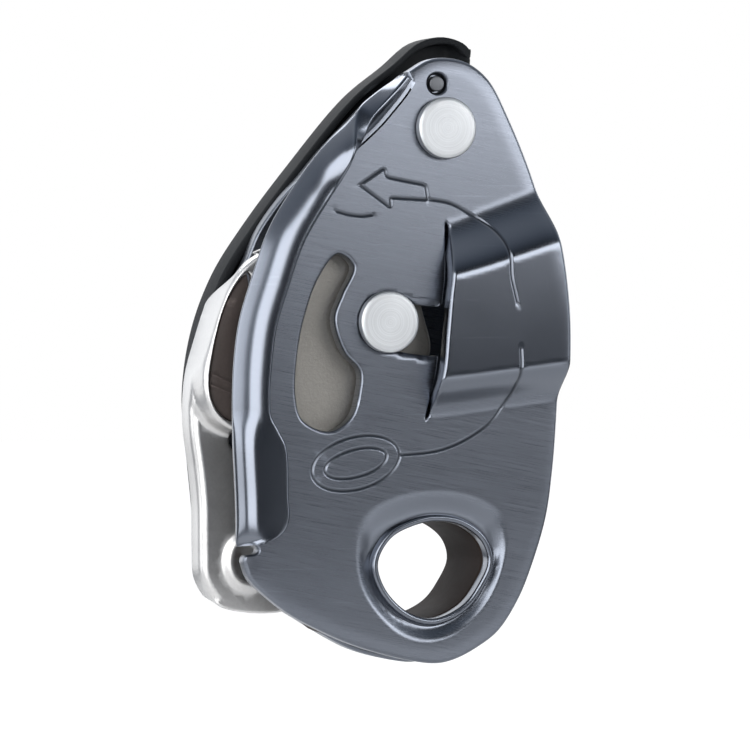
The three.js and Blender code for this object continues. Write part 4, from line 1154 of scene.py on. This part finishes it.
def cam_solid():
    """Grooved cam with softened rims."""
    outline = loop_of(CAM, 0.7)
    quarter = (CAM_BACK - CAM_FRONT) / 4
    middle = (CAM_BACK + CAM_FRONT) / 2
    rim = [
        (CAM_RIM * (1 - math.sin(a)), CAM_RIM * (1 - math.cos(a))) for a in np.linspace(0, math.pi / 2, 5)
    ]
    profile = [(-1.5 * CAM_RIM, CAM_FRONT)]
    profile += [(-inset, CAM_FRONT + back) for inset, back in rim]
    for share in np.linspace(0, 1, 25):
        y = middle - quarter * 1.25 + share * quarter * 2.5
        profile.append((-CAM_GROOVE * math.sin(math.pi * share) ** 1.4, y))
    profile += [(-inset, CAM_BACK - back) for inset, back in reversed(rim)]
    profile.append((-1.5 * CAM_RIM, CAM_BACK))
    sections = []
    for out, y in profile:
        flat = moved(outline, out)
        sections.append(np.column_stack([flat[:, 0], np.full(len(flat), y), flat[:, 1]]))
    return loft_solid(sections)


def handle_solid():
    """Moulded release handle: a rim along its outer side, a recess behind it and a crowned back."""
    rows = evenly(smooth_line(HANDLE_SECTIONS, 8), 1.4)
    shoulder = HANDLE_BACK - HANDLE_CROWN
    slope = HANDLE_BACK - HANDLE_SLOPE
    sections = []
    for count, (ox, oz, ix, iz, rim) in enumerate(rows):
        closing = eased(count, TIP_ROWS, 0)
        outer = np.array([ox, oz])
        width = math.hypot(ix - ox, iz - oz)
        across = (np.array([ix, iz]) - outer) / width
        edge = (RIM_SHARE + TIP_RIM * closing) * width
        crown = CROWN_SHARE * width
        front = ARM_FRONT + (1 - min(rim, 1)) * HUB_DROP
        seat = HANDLE_SEAT + closing * (front - HANDLE_SEAT)
        floor = seat + TIP_RECESS + (HANDLE_RECESS - TIP_RECESS) * (1 - closing)
        corners = [
            (0, front), (edge, front), (edge, floor), (width - edge, floor), (width - edge, seat),
            (width, seat), (width, shoulder), (width - crown / 2, slope), (width - crown, HANDLE_BACK),
            (crown, HANDLE_BACK), (crown / 2, slope), (0, shoulder),
        ]
        line = rounded(corners, 1.0, 4)
        x = outer[0] + across[0] * line[:, 0]
        z = outer[1] + across[1] * line[:, 0]
        sections.append(np.column_stack([x, line[:, 1], z]))
    ends = []
    for end, near in ((sections[0], sections[1]), (sections[-1], sections[-2])):
        middle = end.mean(axis=0)
        onward = middle - near.mean(axis=0)
        onward /= np.linalg.norm(onward)
        ends.append([
            middle + (end - middle) * math.cos(a) ** 0.5 + onward * TIP_ROUND * math.sin(a)
            for a in (0.5, 0.95, 1.3)
        ])
    return loft_solid(ends[0][::-1] + sections + ends[1])


def liner_solid():
    """Plastic block whose collar lines the attachment hole."""
    hole = loop_of(HOLE, 0.6)

    def back(places):
        return np.where(-from_loop(places, hole) < COLLAR_WALL, FIXED_OUTER + GAP, FIXED_INNER - GAP)

    lines = rings_round(hole, (1.9, 2.0, 2.06))
    cut = cut_sheet(loop_of(LINER, 0.9), [hole], lines, 1.4, [0.05, 0.2, 0.4, 0.5])
    return sheet_solid(cut, 0.4, level(SWING_INNER + GAP), back)


def arm_outline():
    """Outline round the two eyes of the drive arm."""
    large_eye, small_eye = ARM_EYES
    off = HANDLE_PIN - AXLE
    length = np.hypot(*off)
    heading = math.atan2(off[1], off[0])
    lean = math.acos((large_eye - small_eye) / length)
    large = np.linspace(heading + lean, heading + 2 * np.pi - lean, 50)
    small = np.linspace(heading - lean, heading + lean, 30)
    return np.vstack([
        AXLE + large_eye * np.column_stack([np.cos(large), np.sin(large)]),
        HANDLE_PIN + small_eye * np.column_stack([np.cos(small), np.sin(small)]),
    ])


def head_profile(seat, radius, height):
    """Head of a rivet with a chamfer."""
    face = seat - height
    chamfer = [(radius - 0.6, face), (radius - 0.12, face + 0.2), (radius, face + 0.55)]
    return [(0, face), *chamfer, (radius, seat)]


def pin_profile(radius, front, back):
    """Plain pin."""
    return [(0, front), (radius, front), (radius, back), (0, back)]


def coil_solid(centre, reach, wire, front, turns):
    """Wound wire spring as one tube."""
    side = np.linspace(0, 2 * np.pi, 9)[:-1]
    sections = []
    for turn in np.linspace(0, 2 * np.pi * turns * 0.98, 48 * turns):
        out = reach + wire * np.cos(side)
        y = front + wire * (np.sin(side) + 1.05 * turn / np.pi - (turns - 1))
        x = centre[0] + out * math.cos(turn)
        z = centre[1] + out * math.sin(turn)
        sections.append(np.column_stack([x, y, z]))
    return loft_solid(sections)


def cam_stop_place():
    """Where the released arm rests."""
    large_eye, small_eye = ARM_EYES
    along = HANDLE_PIN - AXLE
    length = np.hypot(*along)
    along = along / length
    slope = (large_eye - small_eye) / length
    width = (large_eye - slope * REST_REACH) / math.cos(math.asin(slope))
    return AXLE + along * REST_REACH + np.array([-along[1], along[0]]) * (width + REST_GAP)


def stop_place(angle):
    """Place of a stop on its arc about the top pivot."""
    return PIVOT + STOP_ARC * np.array([math.cos(angle), math.sin(angle)])


# Settings

class BelayLooks(bpy.types.PropertyGroup):
    """Colours and finishes of the pieces."""

    colour: bpy.props.FloatVectorProperty(
        name="Plate Colour", description="Anodised colour of the side plates",
        subtype="COLOR", size=3, min=0, max=1, default=(0.15, 0.163, 0.19))
    roughness: bpy.props.FloatProperty(
        name="Plate Roughness", description="Gloss of the side plates",
        subtype="FACTOR", min=0, max=1, default=0.3)
    lean: bpy.props.FloatProperty(
        name="Brushing Lean", description="How far the brushed lines lean down to the right",
        subtype="ANGLE", unit="ROTATION", default=-0.19)
    marks: bpy.props.FloatProperty(
        name="Handling Marks", description="Scratches and smudges",
        subtype="FACTOR", min=0, max=1, default=0.3)
    wear: bpy.props.FloatProperty(
        name="Edge Wear", description="Rubbed edges", subtype="FACTOR", min=0, max=1, default=0.35)
    steel_colour: bpy.props.FloatVectorProperty(
        name="Turned Steel Colour", description="Colour of rivets and axles",
        subtype="COLOR", size=3, min=0, max=1, default=(0.56, 0.575, 0.59))
    steel_roughness: bpy.props.FloatProperty(
        name="Turned Steel Roughness", description="Gloss of rivets and axles",
        subtype="FACTOR", min=0, max=1, default=0.46)
    pressed_colour: bpy.props.FloatVectorProperty(
        name="Pressed Steel Colour", description="Colour of the friction plate and the arm",
        subtype="COLOR", size=3, min=0, max=1, default=(0.55, 0.545, 0.54))
    cam_colour: bpy.props.FloatVectorProperty(
        name="Cam Colour", description="Colour of the blasted cam",
        subtype="COLOR", size=3, min=0, max=1, default=(0.21, 0.202, 0.187))
    nylon_colour: bpy.props.FloatVectorProperty(
        name="Handle Colour", description="Colour of the nylon handle",
        subtype="COLOR", size=3, min=0, max=1, default=(0.011, 0.012, 0.0135))
    plastic_colour: bpy.props.FloatVectorProperty(
        name="Liner Colour", description="Colour of the liner of the attachment hole",
        subtype="COLOR", size=3, min=0, max=1, default=(0.022, 0.016, 0.014))
    insert_colour: bpy.props.FloatVectorProperty(
        name="Insert Colour", description="Colour of the plastic insert",
        subtype="COLOR", size=3, min=0, max=1, default=(0.055, 0.045, 0.042))


class StageLooks(bpy.types.PropertyGroup):
    """Sizes of the camera and the light."""

    distance: bpy.props.FloatProperty(
        name="Camera Distance", description="From the camera to the object", unit="LENGTH", default=0.9)
    lens: bpy.props.FloatProperty(name="Lens", description="Focal length", unit="CAMERA", default=265)
    turn: bpy.props.FloatProperty(
        name="Camera Turn", description="How far the camera stands to the left", subtype="ANGLE",
        unit="ROTATION", default=math.radians(19))
    floor: bpy.props.FloatProperty(
        name="Floor Height", description="Height of the floor", unit="LENGTH", default=-0.06)
    power: bpy.props.FloatProperty(
        name="Light Power", description="Share of the lamps' full power", subtype="FACTOR", min=0, soft_max=2,
        default=1.0)


# Operators

class BELAY_OT_stage(bpy.types.Operator):
    """Sets up the camera, the lamps, the world and the floor"""

    bl_idname = "belay.stage"
    bl_label = "Stage"

    def execute(self, context):
        looks = context.scene.belay_stage
        self.add_camera(context, looks)
        self.add_world(context)
        self.add_floor(context, looks)
        for name, place, size, power in LAMPS:
            self.add_lamp(context, name, place, size, power * looks.power)
        return {"FINISHED"}

    def add_camera(self, context, looks):
        """Camera in front of the plate, a little to the left."""
        data = bpy.data.cameras.new("Camera")
        data.lens = looks.lens
        data.sensor_width = 36
        data.clip_start = 0.01
        camera = bpy.data.objects.new("Camera", data)
        way = Vector((-math.sin(looks.turn), -math.cos(looks.turn), 0))
        camera.location = Vector(CAMERA_AIM) + way * looks.distance
        camera.rotation_euler = (-way).to_track_quat("-Z", "Y").to_euler()
        context.scene.collection.objects.link(camera)
        context.scene.camera = camera

    def add_world(self, context):
        """White room, darker and cooler in front of the object and behind it."""
        world = bpy.data.worlds.new("Studio")
        world.use_nodes = True
        tree = world.node_tree
        background = tree.nodes["Background"]
        rays = tree.nodes.new("ShaderNodeLightPath")
        way = tree.nodes.new("ShaderNodeTexCoord")
        parts = tree.nodes.new("ShaderNodeSeparateXYZ")
        tree.links.new(way.outputs["Generated"], parts.inputs[0])
        front = spread(tree, parts.outputs["Y"], -0.8, 0.0, 0.07, 0.8)
        behind = spread(tree, parts.outputs["Y"], 0.2, 0.8, 0.0, 0.5)
        room = maths(tree, "SUBTRACT", front, behind)
        seen = maths(tree, "MAXIMUM", rays.outputs["Is Camera Ray"], room)
        tint = blend_colours(tree, seen, (0.6, 0.77, 1.0), (1.0, 1.0, 1.0))
        tree.links.new(tint, background.inputs["Color"])
        mirrored = maths(tree, "MAXIMUM", rays.outputs["Is Glossy Ray"], rays.outputs["Is Transmission Ray"])
        shown = maths(tree, "MAXIMUM", rays.outputs["Is Camera Ray"], mirrored)
        ambient = spread(tree, shown, 0, 1, 0.5, 1)
        tree.links.new(maths(tree, "MULTIPLY", seen, ambient), background.inputs["Strength"])
        context.scene.world = world
        context.scene.view_settings.view_transform = "Standard"

    def add_floor(self, context, looks):
        """Pale floor that looks white to the camera and darker in reflections far from the object."""
        material, tree, shader = new_material("Pale Floor", 0.0, 0.7)
        glow = tree.nodes.new("ShaderNodeEmission")
        glow.inputs["Strength"].default_value = 1.4
        rays = tree.nodes.new("ShaderNodeLightPath")
        place = tree.nodes.new("ShaderNodeTexCoord")
        reach = tree.nodes.new("ShaderNodeVectorMath")
        reach.operation = "LENGTH"
        tree.links.new(place.outputs["Object"], reach.inputs[0])
        far = spread(tree, reach.outputs["Value"], 0.16, 0.34, 0, 1)
        dim = maths(tree, "MULTIPLY", far, rays.outputs["Is Glossy Ray"])
        shade = blend_colours(tree, dim, (0.9, 0.9, 0.9), (0.12, 0.13, 0.15))
        tree.links.new(shade, shader.inputs["Base Color"])
        mix = tree.nodes.new("ShaderNodeMixShader")
        tree.links.new(maths(tree, "MULTIPLY", rays.outputs["Is Camera Ray"], 0.7), mix.inputs[0])
        tree.links.new(shader.outputs[0], mix.inputs[1])
        tree.links.new(glow.outputs[0], mix.inputs[2])
        tree.links.new(mix.outputs[0], tree.nodes["Material Output"].inputs["Surface"])
        mesh = bpy.data.meshes.new("Floor")
        signs = ((-1, -1), (1, -1), (1, 1), (-1, 1))
        corners = [(x * FLOOR_REACH, y * FLOOR_REACH, looks.floor) for x, y in signs]
        mesh.from_pydata(corners, [], [(0, 1, 2, 3)])
        mesh.materials.append(material)
        floor = bpy.data.objects.new("Floor", mesh)
        context.scene.collection.objects.link(floor)

    def add_lamp(self, context, name, place, size, power):
        """Rectangular softbox turned to the object."""
        data = bpy.data.lights.new(name, "AREA")
        data.shape = "RECTANGLE"
        data.size, data.size_y = size
        data.energy = power
        lamp = bpy.data.objects.new(name, data)
        lamp.location = place
        lamp.rotation_euler = (Vector(LAMP_AIM) - Vector(place)).to_track_quat("-Z", "Y").to_euler()
        context.scene.collection.objects.link(lamp)


class BELAY_OT_swing_plate(bpy.types.Operator):
    """Makes the front plate with its folded edge, bridge, window, marks and dished hole"""

    bl_idname = "belay.swing_plate"
    bl_label = "Front Plate"

    def execute(self, context):
        solid, polish, groove_shade = swing_plate_solid()
        piece = add_piece("front_plate", solid, finish_of("plate"), "swing_plate", ["swing_side_plate"])
        mark_points(piece, "polish", polish)
        mark_points(piece, "groove_shade", groove_shade)
        return {"FINISHED"}


class BELAY_OT_fixed_plate(bpy.types.Operator):
    """Makes the rear plate and the rope guide between the plates"""

    bl_idname = "belay.fixed_plate"
    bl_label = "Rear Plate"

    def execute(self, context):
        edge = friction_edge(1.8)
        low, high = WALL_RANGE
        wrapped = edge[(edge[:, 1] > low) & (edge[:, 1] < high)][::-1]
        right = evenly(smooth_line(FIXED_EDGE, 10), 0.9)
        upper_left = evenly(smooth_line(FIXED_UPPER_LEFT, 10), 0.9)[:-1]
        outline = np.vstack([right, wrapped, upper_left])
        guide_bores = [circle(place, GUIDE_BORE, 24) for place in GUIDE_RIVETS]
        bores = [circle(PIVOT, PIVOT_BORE), circle(AXLE, SLEEVE_BORE, 60)]
        bores += [circle(place, PIN_BORE, 30) for place in (cam_stop_place(), *FRICTION_RIVETS)]
        bores += [circle(place, ANVIL_BORE, 24) for place in ANVIL_RIVETS]
        bores += [*guide_bores, moved(loop_of(HOLE), COLLAR_BORE)]
        solid = plain_sheet(outline, bores, FIXED_INNER, FIXED_OUTER, 0.4, 1.3)
        add_piece("rear_plate", solid, finish_of("plate"), "frame", ["fixed_side_plate"])
        guide = np.vstack([evenly(smooth_line(side, 8), 1.0) for side in (GUIDE_OUTER, GUIDE_INNER)])
        solid = plain_sheet(guide, guide_bores, SWING_INNER + GAP, FIXED_INNER - GAP, 0.6, 1.2)
        add_piece("guide_block", solid, finish_of("plate"), "frame", ["rope_guide"])
        return {"FINISHED"}


class BELAY_OT_friction_plate(bpy.types.Operator):
    """Makes the pressed friction plate and the insert of its island"""

    bl_idname = "belay.friction_plate"
    bl_label = "Friction Plate"

    def execute(self, context):
        add_piece("pressed_plate", friction_solid(), finish_of("pressed"), "frame", ["friction_plate"])
        add_piece("island_insert", insert_solid(), finish_of("insert"), "frame", ["name_insert"])
        return {"FINISHED"}


class BELAY_OT_cam(bpy.types.Operator):
    """Makes the grooved cam and the block that it pinches the rope against"""

    bl_idname = "belay.cam"
    bl_label = "Cam"

    def execute(self, context):
        add_piece("grooved_cam", cam_solid(), finish_of("blasted"), "cam_group", ["cam"])
        bores = [circle(place, ANVIL_BORE, 24) for place in ANVIL_RIVETS]
        solid = plain_sheet(loop_of(ANVIL, 0.6), bores, SWING_INNER + GAP, FIXED_INNER - GAP, 0.5, 1.0)
        add_piece("anvil_block", solid, finish_of("blasted"), "frame", ["brake_anvil"])
        return {"FINISHED"}


class BELAY_OT_handle(bpy.types.Operator):
    """Makes the folding release handle and its hub cap"""

    bl_idname = "belay.handle"
    bl_label = "Handle"

    def execute(self, context):
        nylon = finish_of("nylon")
        add_piece("release_handle", handle_solid(), nylon, "handle", ["handle_lever"])
        cap = turned_solid(HANDLE_PIN, HUB_CAP, 0.2, 72)
        add_piece("hub_cap", cap, nylon, "handle", ["handle_hub_cap"])
        return {"FINISHED"}


class BELAY_OT_liner(bpy.types.Operator):
    """Makes the block that lines the attachment hole"""

    bl_idname = "belay.liner"
    bl_label = "Hole Liner"

    def execute(self, context):
        plastic = finish_of("plastic")
        add_piece("hole_liner", liner_solid(), plastic, "frame", ["attachment_liner"])
        return {"FINISHED"}


class BELAY_OT_turned(bpy.types.Operator):
    """Makes the turned rivets, axles, stops and rings"""

    bl_idname = "belay.turned"
    bl_label = "Turned Pieces"

    def execute(self, context):
        seat = SWING_OUTER - GAP
        inner = SWING_INNER + GAP
        pivot = [*head_profile(seat, 5, 1.6), (3, seat), (3, FIXED_OUTER), (0, FIXED_OUTER)]
        axle = [
            *head_profile(seat, 5, 1.5), (3.7, seat), (3.7, inner), (4, inner), (4, AXLE_END - 0.4),
            (3.6, AXLE_END), (0, AXLE_END),
        ]
        plate_stop = pin_profile(STOP_RADIUS, SWING_OUTER + 0.2, -4)
        frame_stop = pin_profile(STOP_RADIUS, inner, -inner)
        lower, upper = FRICTION_RIVETS
        opened = STOP_TURN - SWING_TRAVEL - STOP_SPACING
        pieces = [
            ("top_rivet", PIVOT, pivot, "frame", "pivot_rivet"),
            ("cam_axle_pin", AXLE, axle, "frame", "cam_axle"),
            ("plate_stop", stop_place(STOP_TURN), plate_stop, "swing_plate", "swing_stop_pin"),
            ("closed_stop", stop_place(STOP_TURN + STOP_SPACING), frame_stop, "frame", "closing_stop"),
            ("open_stop", stop_place(opened), frame_stop, "frame", "opening_stop"),
            ("arm_rest", cam_stop_place(), pin_profile(2, 7.3, ARM_BACK), "frame", "cam_stop_pin"),
            ("plate_rivet_lower", lower, pin_profile(2, 4.8, FIXED_OUTER), "frame", "friction_rivet_lower"),
            ("plate_rivet_upper", upper, pin_profile(2, 5.2, FIXED_OUTER), "frame", "friction_rivet_upper"),
        ]
        for kind, places, radius in (("anvil", ANVIL_RIVETS, 1.5), ("guide", GUIDE_RIVETS, 1.2)):
            for number, place in enumerate(places, 1):
                node = f"{kind}_rivet_{number}"
                pieces.append((node + "_pin", place, pin_profile(radius, inner, FIXED_OUTER), "frame", node))
        handle_pin = pin_profile(3, 10.75, 19.3)
        pieces.append(("handle_pin", HANDLE_PIN, handle_pin, "cam_group", "handle_pivot_pin"))
        for name, centre, profile, body, node in pieces:
            finish = finish_of("darkened" if name == "plate_stop" else "turned")
            piece = add_piece(name, turned_solid(centre, profile), finish, body, [node])
            mark_turning(piece, centre)
        rings = [
            ("axle_ring", AXLE, (4.3, 6.2, 16.5, 17.4), "frame", "cam_axle_ring", "turned"),
            ("top_spacer", PIVOT, (3.3, 5.4, -5.9, 6.7), "frame", "pivot_spacer", "turned"),
            ("top_washer", PIVOT, (3.3, 5.6, -6.7, -6.2), "frame", "pivot_washer", "bronze"),
            ("drive_sleeve", AXLE, (4.3, 6.7, 5.1, 13.1), "cam_group", "cam_sleeve", "turned"),
            ("thrust_washer", AXLE, (7, 10, 5.1, 6.7), "frame", "cam_thrust_washer", "bronze"),
        ]
        for name, centre, (bore, outer, front, back), body, node, finish in rings:
            profile = [(bore, front), (outer, front), (outer, back), (bore, back)]
            solid = ring_solid(centre, profile)
            piece = add_piece(name, solid, finish_of(finish), body, [node])
            mark_turning(piece, centre)
        return {"FINISHED"}


class BELAY_OT_drive(bpy.types.Operator):
    """Makes the drive arm, the spring's cap and the springs, and dresses the bushes"""

    bl_idname = "belay.drive"
    bl_label = "Drive"

    def execute(self, context):
        pressed = finish_of("pressed")
        wire = finish_of("wire")
        holes = [circle(AXLE, SLEEVE_BORE, 60), circle(HANDLE_PIN, PIVOT_BORE, 32)]
        arm = plain_sheet(evenly(arm_outline(), 0.7, closed=True), holes, ARM_FRONT, ARM_BACK, 0.4, 1.2)
        add_piece("lever_arm", arm, pressed, "cam_group", ["drive_arm"])
        cap = ring_solid(AXLE, SPRING_CAP, 0.4)
        add_piece("spring_cap", cap, pressed, "frame", ["cam_spring_cap"])
        coil = coil_solid(AXLE, 6.35, 0.5, 13.95, 2)
        add_piece("cam_spring", coil, wire, "frame", ["cam_return_spring"])
        coil = coil_solid(HANDLE_PIN, 4.1, 0.42, 13.85, 1)
        add_piece("handle_spring", coil, wire, "handle", ["handle_return_spring"])
        for node in ("cam_bush", "handle_bush"):
            dress_node(node, finish_of("bronze"))
        return {"FINISHED"}


class BELAY_PT_panel(bpy.types.Panel):
    """Lists the pieces and their looks"""

    bl_label = "Belay Device"
    bl_space_type = "VIEW_3D"
    bl_region_type = "UI"
    bl_category = "Belay Device"

    def draw(self, context):
        for operator in OPERATORS:
            self.layout.operator(operator.bl_idname)
        for group in (context.scene.belay_looks, context.scene.belay_stage):
            for name in group.__annotations__:
                self.layout.prop(group, name)


OPERATORS = (
    BELAY_OT_stage, BELAY_OT_swing_plate, BELAY_OT_fixed_plate, BELAY_OT_friction_plate, BELAY_OT_cam,
    BELAY_OT_handle, BELAY_OT_liner, BELAY_OT_turned, BELAY_OT_drive,
)
CLASSES = (BelayLooks, StageLooks, *OPERATORS, BELAY_PT_panel)


def register():
    """Adds the classes and the scene's settings."""
    for cls in CLASSES:
        bpy.utils.register_class(cls)
    bpy.types.Scene.belay_looks = bpy.props.PointerProperty(type=BelayLooks)
    bpy.types.Scene.belay_stage = bpy.props.PointerProperty(type=StageLooks)


def unregister():
    """Removes the scene's settings and the classes."""
    del bpy.types.Scene.belay_stage
    del bpy.types.Scene.belay_looks
    for cls in reversed(CLASSES):
        bpy.utils.unregister_class(cls)


def main():
    """Builds everything."""
    register()
    for operator in OPERATORS:
        group, name = operator.bl_idname.split(".")
        getattr(getattr(bpy.ops, group), name)()


if __name__ == "__main__":
    main()
